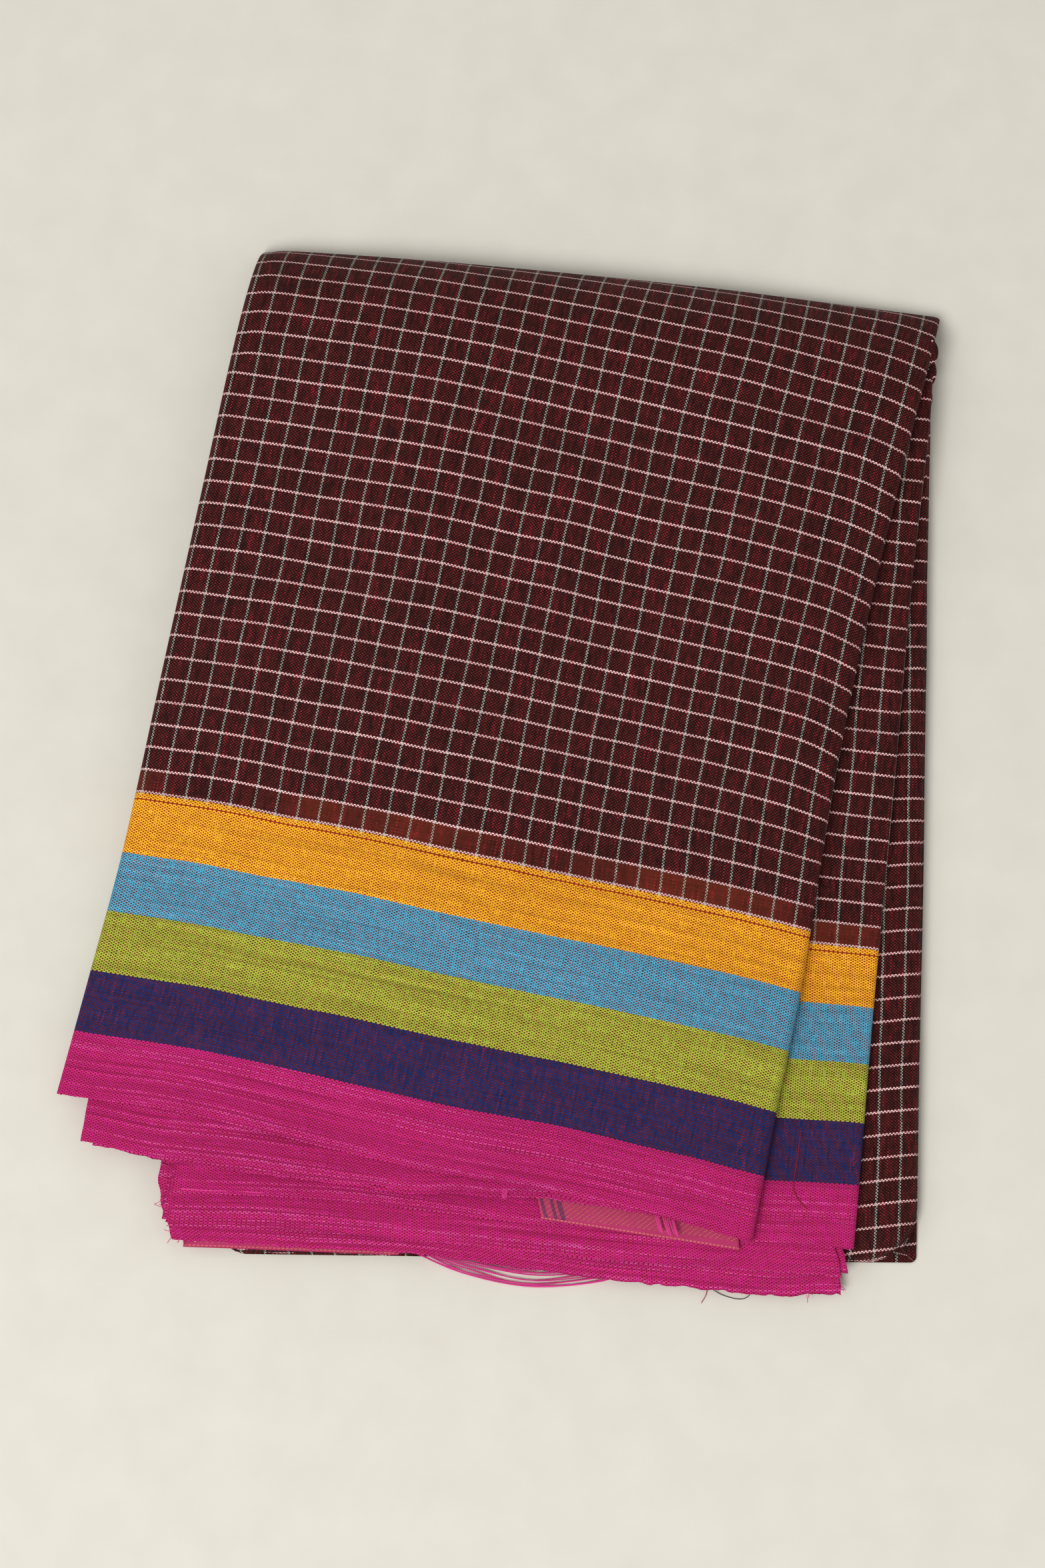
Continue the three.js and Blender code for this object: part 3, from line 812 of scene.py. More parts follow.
middleWaves = [(0.08, 0.5, 0.05), (0.24, 0.3, 0.05), (0.42, 0.25, 0.05), (0.93, 0.5, 0.04)]
lowerWaves = [(0.1, 0.3, 0.05), (0.36, 0.35, 0.06), (0.66, 0.3, 0.05), (0.9, 0.4, 0.05)]


def nearLift(waves, u, t):
    return sum(up * np.exp(-(((u - at) / wide) ** 2)) for at, up, wide in waves) * np.exp(-t * 24)


def topLift(x, y, u, t):
    return nearLift(topWaves, u, t) + creaseHeight(topDents, x, y)


topFlap = {
    "sections": [
        (-155.3, -104.3, 75.5, -154.5),
        (-145.0, -64.0, 83.8, -112.2),
        (-135.0, -24.5, 92.2, -72.6),
        (-121.5, 42.0, 105.5, 3.0),
        (-110.5, 96.0, 120.0, 68.0),
        (-99.6, 150.3, 134.5, 125.7),
    ],
    "nearEdge": [(0, 0), (0.16, -1.8), (0.5, 0), (0.74, -1.9), (0.88, -1.5), (1, 0)],
    "lean": topLean,
    "over": topOver,
    "lift": topLift,
    "leftFold": lambda x, y: (stackWall(x, y) + stack["overTop"]) / 2,
    "rightFold": lambda x, y: (stackWall(x, y) + stack["overTop"]) / 2,
    "foldSteps": 9,
    "columns": 170,
    "rows": 150,
    "farRows": 28,
    "lastTurn": 0.05,
    "cloth": 0.5,
    "uStart": -1.4,
    "bend": (5.6, 26.0, 0.38, 0.6),
    "ragged": (0.12, 0.0),
}
secondFlap = {
    "sections": [
        (-147.2, -120.2, 70.7, -151.0),
        (-140.4, -82.0, 79.0, -112.0),
        (-126.0, -22.0, 87.4, -72.0),
        (-111.5, 44.0, 100.8, 4.0),
        (-100.5, 98.0, 115.3, 69.0),
        (-90.5, 149.2, 129.8, 126.1),
    ],
    "nearEdge": [(0, 0), (0.13, 2.4), (0.49, 2.0), (0.6, -0.8), (0.72, -3.2), (0.88, -2.6), (1, 0)],
    "ragged": (0.2, 0.12),
    "lift": lambda x, y, u, t: nearLift(secondWaves, u, t),
    "lean": topLean,
    "over": lambda x, y: stack["second"] + stackWall(x, y),
    "leftFold": lambda x, y: stackWall(x, y) / 2,
    "rightFold": lambda x, y: stackWall(x, y) / 2,
    "foldSteps": 8,
    "columns": 150,
    "rows": 96,
    "farRows": 12,
    "lastTurn": 0.5,
    "cloth": 0.5,
}
middleFlap = {
    "sections": [
        (-115.9, -137.0, 109.4, -156.0),
        (-108.4, -77.0, 117.0, -78.0),
        (-100.2, 0.0, 125.6, 0.0),
        (-92.0, 76.0, 133.0, 70.0),
        (-84.5, 148.6, 140.2, 125.1),
    ],
    "nearEdge": [(0, 0), (0.27, -1.0), (0.56, 1.2), (0.8, 1.6), (1, 0)],
    "ragged": (0.15, 0.1),
    "lift": lambda x, y, u, t: nearLift(middleWaves, u, t),
    "lean": innerLean,
    "over": lambda x, y: stack["middle"] + 0 * x,
    "rightFold": lambda x, y: 1.9 + 0 * x,
    "foldSteps": 8,
    "columns": 150,
    "rows": 116,
    "farRows": 16,
    "lastTurn": 0.35,
    "cloth": 0.5,
    "vScale": 1.05,
}
lowerFlap = {
    "sections": [
        (-118.0, -147.0, 107.4, -164.0),
        (-116.2, -130.0, 104.6, -146.0),
        (-109.5, -77.0, 112.4, -78.0),
        (-101.3, 0.0, 121.0, 0.0),
        (-92.5, 76.0, 128.4, 70.0),
        (-85.0, 148.7, 135.6, 125.6),
    ],
    "nearEdge": [(0, 0), (0.2, -2.2), (0.45, -1.0), (0.72, 1.0), (1, 0)],
    "ragged": (0.25, 0.3),
    "lift": lambda x, y, u, t: nearLift(lowerWaves, u, t),
    "lean": innerLean,
    "over": lambda x, y: stack["lower"] + 0 * x,
    "columns": 190,
    "rows": 110,
    "farRows": 6,
    "lastTurn": 0.9,
    "cloth": 0.5,
    "vStart": -5.0,
}
bottomFlap = {
    "sections": [
        (-116.2, -152.6, 105.6, -170.6),
        (-120.6, -134.0, 104.4, -148.0),
        (-112.0, -77.0, 112.0, -78.0),
        (-102.4, 0.0, 120.6, 0.0),
        (-93.0, 76.0, 128.0, 70.0),
        (-85.5, 148.7, 135.2, 125.6),
    ],
    "nearEdge": [(0, 0), (0.19, -0.6), (0.34, -1.6), (0.69, 1.6), (0.89, 2.4), (1, 0)],
    "ragged": (0.32, 0.38),
    "lean": innerLean,
    "over": lambda x, y: stack["bottom"] + 0 * x,
    "columns": 190,
    "rows": 110,
    "farRows": 6,
    "lastTurn": 0.9,
    "cloth": 0.5,
    "vStart": -5.0,
}


def joinPieces(name, parts):
    bpy.ops.object.select_all(action="DESELECT")
    for part in parts:
        part.select_set(True)
    bpy.context.view_layer.objects.active = parts[0]
    bpy.ops.object.join()
    piece = bpy.context.object
    piece.name = name
    piece.data.name = name
    return piece


# More selvedge edges lie between the flaps: each is a strip of cloth under the flap that it belongs to.
edgeLayers = {
    "deep": 0.13,
    "rows": 16,
    "columns": 150,
    "fewerColumns": 7,
    "cloth": 0.35,
    "ragged": (0.3, 0.5),
    "edgeShare": (0.7, 0.25),
    "uStep": 31.0,
    "vStart": -2.0,
    # Height over the pack, share of the stack's wall, shift of the near edge, trim of left and right.
    "second": [(4.5, 0.72, -0.6, 2.0, 1.0), (4.5, 0.46, 0.9, 4.5, 2.2), (4.5, 0.2, -1.4, 1.2, 3.0)],
    "lower": [(3.35, 0.0, 1.2, 1.5, 2.0), (1.95, 0.0, -0.8, -1.4, 1.6), (0.75, 0.0, -2.0, 0.6, 1.2)],
}


def makeEdgeLayers(name, flap, rows):
    parts = []
    leftX, leftY, rightX, rightY = flap["sections"][0]
    across = np.array([rightX - leftX, rightY - leftY]) / math.hypot(rightX - leftX, rightY - leftY)
    firstShare, shareStep = edgeLayers["edgeShare"]
    for number, (base, wallShare, shift, leftTrim, rightTrim) in enumerate(rows):
        down = np.array([across[1], -across[0]]) * shift
        sections = []
        for leftX, leftY, rightX, rightY in flap["sections"]:
            left = np.array([leftX, leftY]) + across * leftTrim + down
            right = np.array([rightX, rightY]) - across * rightTrim + down
            sections.append((*left, *right))
        strip = {
            "sections": sections,
            "nearEdge": [(at, out * (firstShare + shareStep * number)) for at, out in flap["nearEdge"]],
            "lean": flap["lean"],
            "over": lambda x, y, base=base, share=wallShare: base + share * stackWall(x, y),
            "ragged": edgeLayers["ragged"],
            "deep": edgeLayers["deep"],
            "rows": edgeLayers["rows"],
            "columns": edgeLayers["columns"] - edgeLayers["fewerColumns"] * number,
            "uStart": edgeLayers["uStep"] * (number + 1),
            "vStart": edgeLayers["vStart"],
        }
        places, u, v = flapGrid(strip)
        part = gridPiece(name, places, u, v)
        addWall(part, edgeLayers["cloth"])
        parts.append(part)
    piece = joinPieces(name, parts)
    finishPiece(piece, magentaSelvedge, "magenta_selvedge")
    return piece


# Loose yarns: each is a tube along its own points.
yarns = {
    # Each yarn's light and dark colours are one dye: painted highlight on the twist's ridges and painted
    # shade in its grooves.
    "magenta": {"light": (244, 84, 168), "dark": (206, 34, 124)},
    "red": {"light": (186, 34, 54), "dark": (120, 20, 34)},
    "dark": {"light": (52, 40, 50), "dark": (22, 18, 24)},
    "sheen": 0.05,
    "specular": 0.15,
    "twist": 9.0,
    "roughness": (0.2, 0.65),
    "bumpDepth": 0.08,
    # A yarn lies on the surface; its sideways turn is taken from a nearly upright line.
    "rest": 1.05,
    "upright": (0.0, 0.13, 0.99),
    "taper": (0.6, 0.45),
}


def yarnMaterial(name, light, dark):
    material, tree, shader = newMaterial(name)
    around, along = uvParts(tree, clothMap(tree))
    twist = scaled(tree, along, yarns["twist"], times(tree, around, 2 * math.pi))
    # Painted highlight and painted shade follow the twist: the light colour on each ply's ridge, the dark
    # one in the groove.
    ply = scaled(tree, calc(tree, "SINE", twist), 0.5, 0.5)
    wireAll(tree, shader, {
        "Base Color": blendColour(tree, ply, paint(*dark), paint(*light)),
        "Roughness": scaled(tree, ply, *yarns["roughness"]),
        "Sheen Weight": yarns["sheen"],
        "Specular IOR Level": yarns["specular"],
    })
    addBump(tree, shader, ply, yarns["bumpDepth"])
    return material


def smoothPath(points, count):
    p = np.array(points, float)
    p = np.vstack([2 * p[0] - p[1], p, 2 * p[-1] - p[-2]])
    spots = np.linspace(0, len(p) - 3.0001, count)
    i = spots.astype(int)
    k = (spots - i)[:, None]
    a, b, c, d = p[i], p[i + 1], p[i + 2], p[i + 3]
    return 0.5 * (2 * b + (c - a) * k + (2 * a - 5 * b + 4 * c - d) * k**2 + (3 * b - a - 3 * c + d) * k**3)


def addYarn(points, radius, count=14, sides=6):
    path = smoothPath(points, count)
    path[:, 2] = np.maximum(path[:, 2], radius * yarns["rest"])
    along = np.gradient(path, axis=0)
    along = along / np.linalg.norm(along, axis=1)[:, None]
    side = np.cross(along, yarns["upright"])
    side = side / np.linalg.norm(side, axis=1)[:, None]
    up = np.cross(side, along)
    turn = np.linspace(0, 2 * math.pi, sides + 1)
    fromEnd = np.minimum(np.arange(count), np.arange(count)[::-1])
    grow, tip = yarns["taper"]
    taper = np.clip(fromEnd * grow + tip, 0, 1) * radius
    ring = side[:, None] * np.cos(turn)[None, :, None] + up[:, None] * np.sin(turn)[None, :, None]
    places = path[:, None] + ring * taper[:, None, None]
    run = np.concatenate([[0], np.cumsum(np.linalg.norm(np.diff(path, axis=0), axis=1))])
    u = np.broadcast_to(turn / (2 * math.pi), places.shape[:2])
    v = np.broadcast_to(run[:, None], places.shape[:2])
    return gridPiece("yarn", places, u, v, closed=True)


def restAt(x, y):
    return float(restHeight(np.array(x), np.array(y)))


# Where a pulled bundle leaves the lowest edge, sags and comes back to it.
bundle = {
    "points": [
        (-37.5, -157.4, 2.6),
        (-20.0, -163.6, 0.6),
        (3.5, -168.0, 0.4),
        (24.0, -166.3, 0.5),
        (37.0, -164.0, 2.2),
    ],
    "count": 12,
    "middle": 6,
    "spread": 0.5,
    "firstSpread": -0.6,
    "tighten": 7.2,
    "lift": 0.9,
    "tuckIn": 1.6,
    "steps": 22,
    # Ranges of chance.
    "slack": (-0.05, 0.05),
    "along": (-3.2, 3.2),
    "across": (-0.3, 0.3),
    "up": (0, 0.5),
    "radius": (0.17, 0.25),
}
singleEnds = {
    # Single ends stand out of the raw edges: place, how many, heading in degrees.
    "rows": [
        (-120.0, -131.0, 3, 180),
        (-120.2, -139.5, 4, 178),
        (-117.5, -148.5, 5, 200),
        (-112.5, -153.2, 3, 240),
        (104.8, -168.6, 5, -40),
        (95.0, -171.4, 2, -90),
        (106.2, -158.0, 3, -10),
    ],
    "tucked": -2.0,
    "curl": 0.3,
    "steepShare": 0.3,
    # Ranges of chance.
    "heading": (-38, 38),
    "length": (0.6, 1.8),
    "x": (-1.4, 1.4),
    "y": (-4.0, 4.0),
    "up": (0.4, 2.4),
    "droop": (0.2, 1.2),
    "radius": (0.1, 0.17),
}


def bundleYarn(n):
    last = len(bundle["points"]) - 1
    slack = 1 - (n / (bundle["count"] - 1)) ** 1.2 + random.uniform(*bundle["slack"])
    points = []
    for k, (x, y, z) in enumerate(bundle["points"]):
        inner = 1.0 if 0 < k < last else 0.0
        fan = 1 if k == last else bundle["firstSpread"] if k == 0 else 0
        x = x + random.uniform(*bundle["along"]) + (n - bundle["middle"]) * bundle["spread"] * fan
        sag = inner * (1 - slack)
        y = y + sag * bundle["tighten"] + random.uniform(*bundle["across"]) + (1 - inner) * bundle["tuckIn"]
        points.append((x, y, z + random.uniform(*bundle["up"]) * inner + sag * bundle["lift"]))
    return addYarn(points, random.uniform(*bundle["radius"]), bundle["steps"])


def singleEnd(x, y, heading):
    turn = math.radians(heading + random.uniform(*singleEnds["heading"]))
    length = random.uniform(*singleEnds["length"])
    steep = abs(math.sin(math.radians(heading))) > 0.5
    startX = x + random.uniform(*singleEnds["x"])
    startY = y + random.uniform(*singleEnds["y"]) * (singleEnds["steepShare"] if steep else 1)
    up = restAt(startX, startY) + random.uniform(*singleEnds["up"])

    def away(angle, distance, height):
        return (startX + math.cos(angle) * distance, startY + math.sin(angle) * distance, height)

    tip = away(turn, length, max(0.3, up - random.uniform(*singleEnds["droop"])))
    middle = away(turn + singleEnds["curl"], length * 0.5, up)
    inside = away(turn, singleEnds["tucked"], up)
    return addYarn([inside, middle, tip], random.uniform(*singleEnds["radius"]), 6, 5)


def makePulledYarns():
    parts = [bundleYarn(n) for n in range(bundle["count"])]
    for x, y, count, heading in singleEnds["rows"]:
        parts.extend(singleEnd(x, y, heading) for n in range(count))
    piece = joinPieces("pulledYarns", parts)
    finishPiece(piece, magentaYarn, "magenta_selvedge")
    return piece


# Places over the flaps where threads and tufts lie: plan points with the height of the sheet there.
def onFlap(points, over):
    return [(x, y, restAt(x, y) + over + up) for x, y, up in points]


tufts = {
    "joinTuft": {"count": 9, "start": (44.0, -147.4), "step": (0.75, -0.16), "over": 8.4},
    "edgeTuft": {"count": 4, "start": -6.6, "step": 0.45, "over": 9.0, "radius": 0.17},
    # A thick slub runs along the middle flap's edge.
    "slub": [(-113.5, -136.2, 0), (-104.0, -137.0, 0.1), (-95.0, -137.3, 0), (-85.5, -137.8, -0.1)],
    "slubOver": 4.25,
    "slubRadius": 0.3,
}


def makeTufts():
    parts = []
    rule = tufts["joinTuft"]
    for n in range(rule["count"]):
        x = rule["start"][0] + n * rule["step"][0] + random.uniform(-0.4, 0.4)
        y = rule["start"][1] + n * rule["step"][1]
        goX, goY = random.uniform(0.6, 1.9), -random.uniform(3.4, 5.2)
        points = [(x - 0.6, y + 2.4, 0.0), (x + goX * 0.4, y + goY * 0.45, 0.3), (x + goX, y + goY, -0.4)]
        parts.append(addYarn(onFlap(points, rule["over"]), random.uniform(0.19, 0.27), 8, 5))
    rule = tufts["edgeTuft"]
    for n in range(rule["count"]):
        x = rule["start"] + n * rule["step"]
        tipY = -140.4 + random.uniform(-0.5, 0.5)
        points = [(x, -136.0, 0.2), (x + 0.1, -138.2, 0.5), (x - 0.1, tipY, -0.3)]
        parts.append(addYarn(onFlap(points, rule["over"]), rule["radius"], 7, 5))
    parts.append(addYarn(onFlap(tufts["slub"], tufts["slubOver"]), tufts["slubRadius"], 26))
    piece = joinPieces("edgeTufts", parts)
    finishPiece(piece, magentaYarn, "magenta_selvedge")
    return piece


# Stray threads: points, radius, steps. Those on a flap are lifted over it; the others lie by the floor.
threads = {
    "over": 4.3,
    "onFlap": [
        (
            [
                (92.0, -118.0, 0),
                (90.8, -127.0, 0.1),
                (89.4, -135.7, 0.3),
                (91.2, -140.4, 0.2),
                (94.2, -143.4, 0),
            ],
            0.13,
            22,
        ),
        ([(110.8, -126.6, 0.1), (110.0, -127.9, 0.5), (109.2, -129.2, 0.1)], 0.16, 8),
    ],
    "nearEdge": [
        ([(75.2, -161.5, 5.0), (74.3, -165.0, 3.8), (71.5, -167.6, 2.6)], 0.13, 10),
        ([(61.4, -167.0, 1.4), (61.0, -170.4, 0.4), (59.3, -173.3, 0.3)], 0.13, 12),
    ],
    "dark": (
        [
            (58.6, -165.2, 2.6),
            (61.5, -167.6, 1.2),
            (66.0, -170.4, 0.4),
            (71.6, -171.9, 0.3),
            (75.0, -171.0, 0.5),
            (76.6, -167.7, 1.8),
        ],
        0.12,
        30,
    ),
}


def makeThreads():
    red = []
    for points, radius, steps in threads["onFlap"]:
        red.append(addYarn(onFlap(points, threads["over"]), radius, steps))
    red.extend(addYarn(*row) for row in threads["nearEdge"])
    redPiece = joinPieces("redThreads", red)
    finishPiece(redPiece, redYarn, "checked_cotton")
    darkPiece = addYarn(*threads["dark"])
    darkPiece.name = "darkThread"
    finishPiece(darkPiece, darkYarn, "checked_cotton")
    return [redPiece, darkPiece]


# Ends of the inner folds look out under the far right corner.
foldEnds = {
    # Middle, then half sizes.
    "lobes": [
        (139.4, 151.4, 13.6, 4.2, 5.2, 1.5),
        (139.0, 145.6, 10.2, 4.2, 6.2, 1.5),
        (138.0, 137.8, 6.6, 4.0, 6.6, 1.5),
    ],
    "around": 24,
    "over": 11,
    "tilt": 1.5,
    "blunt": 0.8,
    "vStart": 300,
}


def makeFoldEnds():
    parts = []
    turn = np.linspace(0, 2 * math.pi, foldEnds["around"] + 1)[None, :]
    tilt = np.linspace(-foldEnds["tilt"], foldEnds["tilt"], foldEnds["over"])[:, None]
    girth = np.cos(tilt) ** foldEnds["blunt"]
    for x, y, z, halfX, halfY, halfZ in foldEnds["lobes"]:
        twist = 0.25 * (z - 10) * np.sin(turn) * girth * 0.2
        lobeX = x + halfX * girth * np.cos(turn) + twist
        lobeY = y + halfY * girth * np.sin(turn)
        lobeZ = z + halfZ * np.sin(tilt) + 0 * turn
        places = np.stack([lobeX, lobeY, lobeZ], axis=-1)
        parts.append(gridPiece("foldEnd", places, lobeX, foldEnds["vStart"] + lobeY + lobeZ, closed=True))
    piece = joinPieces("foldEnds", parts)
    finishPiece(piece, checkedCotton, "checked_cotton")
    return piece


innerEnds = makeFoldEnds()
magentaYarn = yarnMaterial("magentaYarn", **yarns["magenta"])
redYarn = yarnMaterial("redYarn", **yarns["red"])
darkYarn = yarnMaterial("darkYarn", **yarns["dark"])
pulledYarns = makePulledYarns()
edgeTufts = makeTufts()
threadPieces = makeThreads()
secondEdges = makeEdgeLayers("secondEdges", secondFlap, edgeLayers["second"])
lowerEdges = makeEdgeLayers("lowerEdges", lowerFlap, edgeLayers["lower"])
print("yarns and edge layers made")

checks = (checkedCotton, "checked_cotton")
magenta = (magentaSelvedge, "magenta_selvedge")
makeFlap("bottomFlap", bottomFlap, *magenta, "bottom_flap", ["packCover"], [pulledYarns])
makeFlap("lowerFlap", lowerFlap, *magenta, "lower_flap", ["bottomFlap"], [lowerEdges])
makeFlap("middleFlap", middleFlap, *checks, "middle_flap", ["lowerFlap"], threadPieces)
makeFlap("secondFlap", secondFlap, *magenta, "second_flap", ["middleFlap"], [secondEdges])
makeFlap("topFlap", topFlap, *checks, "top_flap", ["secondFlap"], [edgeTufts, innerEnds])

# The pack under the flaps: folds lie in ribs round its edge, and its near right corner has an ear.
packCover = {
    # From and to as shares of the wall, inset, bulge, radius of the near right corner.
    "ribs": [
        (0.0, 0.16, 0.3, 0.7, 2.6),
        (0.16, 0.31, 0.0, 0.8, 2.0),
        (0.31, 0.46, 1.1, 0.7, 15.0),
        (0.46, 0.60, 0.3, 0.8, 17.0),
        (0.60, 0.74, 1.0, 0.7, 17.0),
        (0.74, 1.0, 0.4, 0.9, 18.0),
    ],
    "ribSteps": 6,
    # Inset, share of the top's height, radius of the near right corner. The flat rings follow.
    "shoulder": [
        (0.9, 0.62, 18),
        (1.9, 0.74, 17),
        (3.6, 0.85, 15),
        (6.5, 0.94, 10),
        (11, 1, 8),
        (17, 1, 6),
    ],
    "flatInsets": [25, 35, 47, 60, 75, 95, 110],
    "underInsets": [100, 60, 30, 10],
    "flatCorner": 5,
    "underHeight": 0.05,
    "wallShare": 0.56,
    "wallCloth": (9.0, 0.6),
    "underCloth": 20.0,
    "corner": 9.0,
    "leastCorner": 2.0,
    "cornerSteps": 8,
    "longSteps": 70,
    "shortSteps": 50,
    "meander": 0.35,
    # A shallow pocket takes the left zari end: middle, half sizes, depth.
    "pocketPlace": (-76, -152),
    "pocketSize": (42, 13),
    "pocketDepth": 1.3,
    "topGap": 0.15,
    "cloth": 0.5,
    "vStart": 420.0,
    "askew": 0.16,
    "extraWidth": 8,
    "extraLength": 6,
}


def packPlan(x, y):
    u, v = (x / pack["halfWidth"] + 1) / 2, (y / pack["halfLength"] + 1) / 2
    corners = ("nearLeft", "nearRight", "farRight", "farLeft")
    nearLeft, nearRight, farRight, farLeft = (np.array(pack[corner]) for corner in corners)
    near = mix(nearLeft, nearRight, u[..., None])
    far = mix(farLeft, farRight, u[..., None])
    return mix(near, far, v[..., None])


def ringPlan(inset, ear):
    halfX, halfY = pack["halfWidth"] - inset, pack["halfLength"] - inset
    least, long, short = packCover["leastCorner"], packCover["longSteps"], packCover["shortSteps"]
    plain = max(least, packCover["corner"] - inset)
    corners = [
        (1, -1, max(least, ear), -90, long),
        (1, 1, plain, 0, short),
        (-1, 1, plain, 90, long),
        (-1, -1, plain, 180, short),
    ]
    arcs = []
    for sideX, sideY, radius, start, steps in corners:
        turn = np.radians(start + 90 * np.linspace(0, 1, packCover["cornerSteps"] + 1))
        x = sideX * (halfX - radius) + radius * np.cos(turn)
        y = sideY * (halfY - radius) + radius * np.sin(turn)
        arcs.append(np.stack([x, y], axis=1))
    ring = []
    for n, arc in enumerate(arcs):
        nextStart = arcs[(n + 1) % 4][0]
        steps = corners[n][4]
        ring.extend(arc)
        ring.extend(mix(arc[-1], nextStart, k / steps) for k in range(1, steps))
    ring.append(ring[0])
    return np.array(ring)


def packTop(plan):
    x, y = plan[..., 0], plan[..., 1]
    fromFar = farFold["line"] - (farFold["normal"][0] * x + farFold["normal"][1] * y)
    beyond = np.maximum(0, farFold["run"] - fromFar) / packRun
    rounded = np.sqrt(np.maximum(0.02, 1 - beyond**2))
    (midX, midY), (halfX, halfY) = packCover["pocketPlace"], packCover["pocketSize"]
    along, across = np.abs(x - midX) / halfX, np.abs(y - midY) / halfY
    pocket = smooth((1.5 - along) * 2) * smooth((1.7 - across) * 1.6)
    return (restHeight(x, y) - packCover["pocketDepth"] * pocket) * rounded - packCover["topGap"]


# Each ring has its places, its heights and how far the cloth has run down past the pack's side.
def packRings():
    rings = []
    for inset in packCover["underInsets"]:
        local = ringPlan(inset, packCover["flatCorner"])
        rings.append((local, 0 * local[:, 0] + packCover["underHeight"], packCover["underCloth"] + inset))
    fall, seam = packCover["wallCloth"]
    for number, (start, end, inset, bulge, ear) in enumerate(packCover["ribs"]):
        for k in np.linspace(0.0, 1.0, packCover["ribSteps"]):
            fromMiddle = 1 - math.sqrt(max(0.0, 1 - (2 * k - 1) ** 2))
            local = ringPlan(inset + bulge * fromMiddle, ear)
            around = np.linspace(0, 2 * math.pi, len(local))
            stray = np.sin(around * (3 + number) + number * 1.7)
            stray = stray + 0.6 * np.sin(around * (7 + 2 * number) + number * 2.9)
            local = local * (1 - packCover["meander"] * (stray * 0.5 + 0.5)[:, None] / pack["halfWidth"])
            share = mix(start, end, k)
            height = packTop(packPlan(local[:, 0], local[:, 1])) * packCover["wallShare"] * share
            rings.append((local, np.maximum(height, packCover["underHeight"]), (1 - share) * fall + seam))
    flat = [(inset, 1, packCover["flatCorner"]) for inset in packCover["flatInsets"]]
    for inset, up, ear in packCover["shoulder"] + flat:
        local = ringPlan(inset, ear)
        rings.append((local, packTop(packPlan(local[:, 0], local[:, 1])) * up, 0.0))
    return rings


def closeEnds():
    bpy.ops.object.mode_set(mode="EDIT")
    bpy.ops.mesh.select_all(action="DESELECT")
    bpy.ops.mesh.select_non_manifold()
    bpy.ops.mesh.fill()
    bpy.ops.mesh.select_all(action="SELECT")
    bpy.ops.mesh.normals_make_consistent(inside=False)
    bpy.ops.object.mode_set(mode="OBJECT")


def makePackCover():
    places, u, v = [], [], []
    for local, height, fall in packRings():
        plan = packPlan(local[:, 0], local[:, 1])
        places.append(np.column_stack([plan, height]))
        gone = np.abs(local) - (np.array([pack["halfWidth"], pack["halfLength"]]) - 2.0)
        overX = np.sign(local[:, 0]) * (gone[:, 0] > gone[:, 1]) * fall
        overY = np.sign(local[:, 1]) * (gone[:, 0] <= gone[:, 1]) * fall
        u.append(local[:, 0] + overX)
        v.append(local[:, 1] + overY)
    places, u, v = np.array(places), np.array(u), np.array(v)
    v = v - u * packCover["askew"] + packCover["vStart"]
    piece = gridPiece("packCover", places, u, v, closed=True)
    closeEnds()
    addWall(piece, packCover["cloth"])
    finishPiece(piece, checkedCotton, "checked_cotton", "base_pack")


makePackCover()
print("pack cover made")

zariEnds = {
    "right": {
        "sections": [(6.2, -146.7, 71.6, -156.7), (4.4, -136.2, 71.1, -151.6)],
        "over": 5.5,
        "uStart": 0.0,
    },
    "left": {
        "sections": [(-112.6, -155.0, -41.0, -157.8), (-110.4, -142.0, -39.8, -146.0)],
        "over": 0.0,
        "uStart": 14.0,
    },
    "length": 66.0,
    "columns": 80,
    "rows": 14,
    "cloth": 0.5,
    # Purple bars cross the zari near its end: middle and half width.
    "bars": [(1.85, 0.6), (5.2, 0.6), (7.7, 0.85)],
    "barsFrom": 0.9,
    "barLean": 0.1,
    # Gold dots stand in slanting rows: their pitches, the rows' slant, and where the band of them begins.
    "dotPitch": (0.9, 0.52),
    "dotSlant": 0.5,
    "bandFrom": 1.3,
    "bandSlant": 0.022,
    # A dotted line runs along the selvedge: from, to, pitch of its stitches and their share of it.
    "stitchLine": (0.35, 0.85, 1.3, 0.6),
    "rose": (168, 28, 88),
    "paleRose": (196, 42, 106),
    "bandRose": (172, 46, 88),
    "gold": (214, 138, 84),
    "purple": (72, 24, 78),
    "goldShare": 0.42,
    "bandShare": 0.15,
    "metal": 0.25,
    "roughness": (-0.35, 0.75),
    "bumpDepth": 0.1,
}


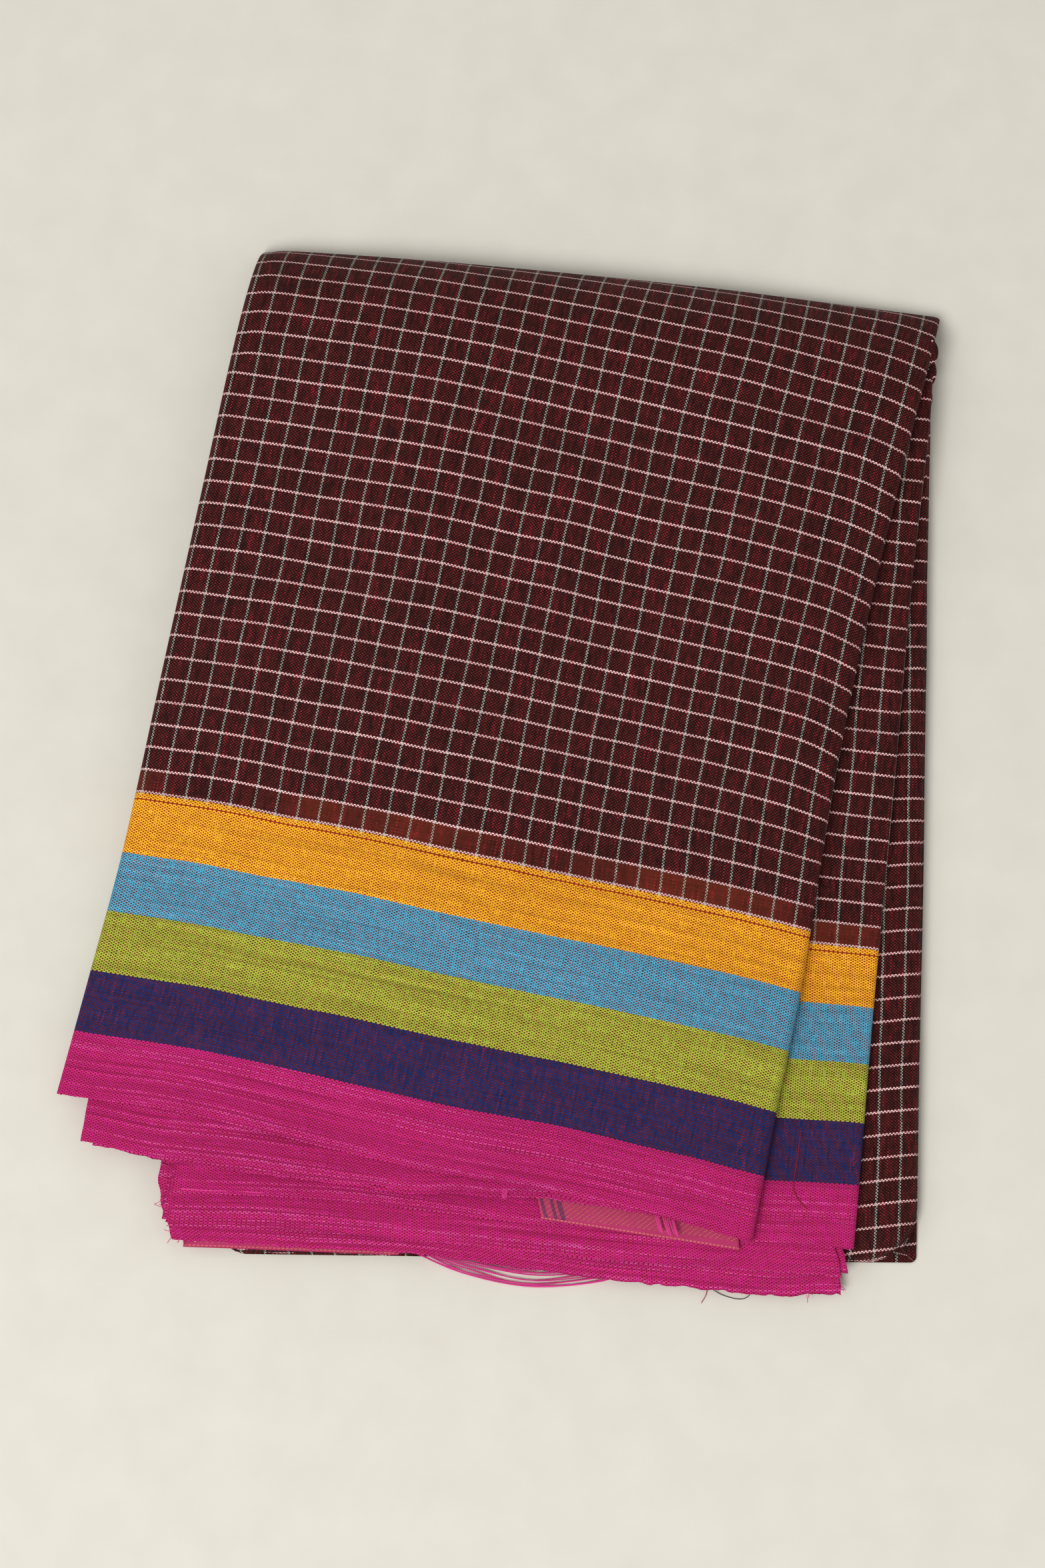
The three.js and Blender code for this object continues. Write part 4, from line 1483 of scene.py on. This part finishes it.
def zariMaterial():
    material, tree, shader = newMaterial("zariEnd")
    cloth = clothMap(tree)
    u, v = uvParts(tree, cloth)
    pitchU, pitchV = zariEnds["dotPitch"]
    cu = calc(tree, "DIVIDE", scaled(tree, v, zariEnds["dotSlant"], u), pitchU)
    cv = calc(tree, "DIVIDE", v, pitchV)
    odd = calc(tree, "FLOORED_MODULO", plus(tree, calc(tree, "FLOOR", cu), calc(tree, "FLOOR", cv)), 2.0)

    def bulge(c):
        return calc(tree, "SINE", times(tree, calc(tree, "FRACT", c), math.pi))

    dot = between(tree, times(tree, bulge(cu), bulge(cv)), 0.25, 0.6)
    inBand = calc(tree, "GREATER_THAN", v, scaled(tree, u, zariEnds["bandSlant"], zariEnds["bandFrom"]))
    start, end, pitch, share = zariEnds["stitchLine"]
    onLine = times(tree, calc(tree, "GREATER_THAN", v, start), calc(tree, "LESS_THAN", v, end))
    stitch = calc(tree, "LESS_THAN", calc(tree, "FRACT", calc(tree, "DIVIDE", u, pitch)), share)
    worn = scaled(tree, between(tree, cloudy(tree, cloth, 0.3, 2.0), 0.3, 0.5), 0.5, 0.5)
    gold = calc(tree, "MAXIMUM", times(tree, dot, odd, inBand, worn), times(tree, onLine, stitch))

    along = scaled(tree, v, zariEnds["barLean"], u)
    bar = 0.0
    for middle, half in zariEnds["bars"]:
        near = calc(tree, "LESS_THAN", calc(tree, "ABSOLUTE", minus(tree, along, middle)), half)
        bar = calc(tree, "MAXIMUM", near, bar)
    bar = times(tree, bar, calc(tree, "GREATER_THAN", v, zariEnds["barsFrom"]))

    def tint(name):
        return paint(*zariEnds[name])

    ground = blendColour(tree, cloudy(tree, cloth, 0.12, 2.0), tint("rose"), tint("paleRose"))
    ground = blendColour(tree, times(tree, inBand, zariEnds["bandShare"]), ground, tint("bandRose"))
    colour = blendColour(tree, times(tree, gold, zariEnds["goldShare"]), ground, tint("gold"))
    colour = blendColour(tree, times(tree, bar, scaled(tree, dot, -0.4, 0.9)), colour, tint("purple"))
    metal, roughness = times(tree, gold, zariEnds["metal"]), scaled(tree, gold, *zariEnds["roughness"])
    wireAll(tree, shader, {"Base Color": colour, "Metallic": metal, "Roughness": roughness})
    addBump(tree, shader, gold, zariEnds["bumpDepth"])
    return material


zariEnd = zariMaterial()


def makeZariEnd(name, rule, node):
    leftEdge, rightEdge = edgeCurve(rule["sections"], 0), edgeCurve(rule["sections"], 2)
    t = np.linspace(0, 1, zariEnds["rows"])
    share = np.linspace(0, 1, zariEnds["columns"])[None, :, None]
    left, right = pointsAlong(leftEdge, t)[:, None], pointsAlong(rightEdge, t)[:, None]
    plan = mix(left, right, share)
    z = restHeight(plan[..., 0], plan[..., 1]) + rule["over"]
    u = np.broadcast_to(share[..., 0] * zariEnds["length"], z.shape) + rule["uStart"]
    v = np.broadcast_to(t[:, None], z.shape) * mix(leftEdge[1][-1], rightEdge[1][-1], share[..., 0])
    flat, area = flatSize(u, v)
    piece = gridPiece(name, np.dstack([plan, z]), u, v)
    addWall(piece, zariEnds["cloth"])
    finishPiece(piece, zariEnd, "zari_end", node)


makeZariEnd("zariEndRight", zariEnds["right"], "zari_end_right")
makeZariEnd("zariEndLeft", zariEnds["left"], "zari_end_left")
print("zari ends made")

floorLook = {
    "size": 4000,
    "colour": (236, 233, 222),
    "fleck": (228, 224, 212),
    "grain": 60.0,
    "grainDetail": 4.0,
    "roughness": 0.9,
    "specular": 0.2,
}


def makeFloor():
    bpy.ops.object.select_all(action="DESELECT")
    bpy.ops.mesh.primitive_plane_add(size=floorLook["size"] * mm)
    floor = bpy.context.object
    floor.name = "floor"
    material, tree, shader = newMaterial("paleCloth")
    place = tree.nodes.new("ShaderNodeTexCoord").outputs["Object"]
    grain = cloudy(tree, place, floorLook["grain"], floorLook["grainDetail"])
    colour = blendColour(tree, grain, paint(*floorLook["colour"]), paint(*floorLook["fleck"]))
    roughness, specular = floorLook["roughness"], floorLook["specular"]
    wireAll(tree, shader, {"Base Color": colour, "Roughness": roughness, "Specular IOR Level": specular})
    floor.data.materials.append(material)


makeFloor()
print("floor laid")
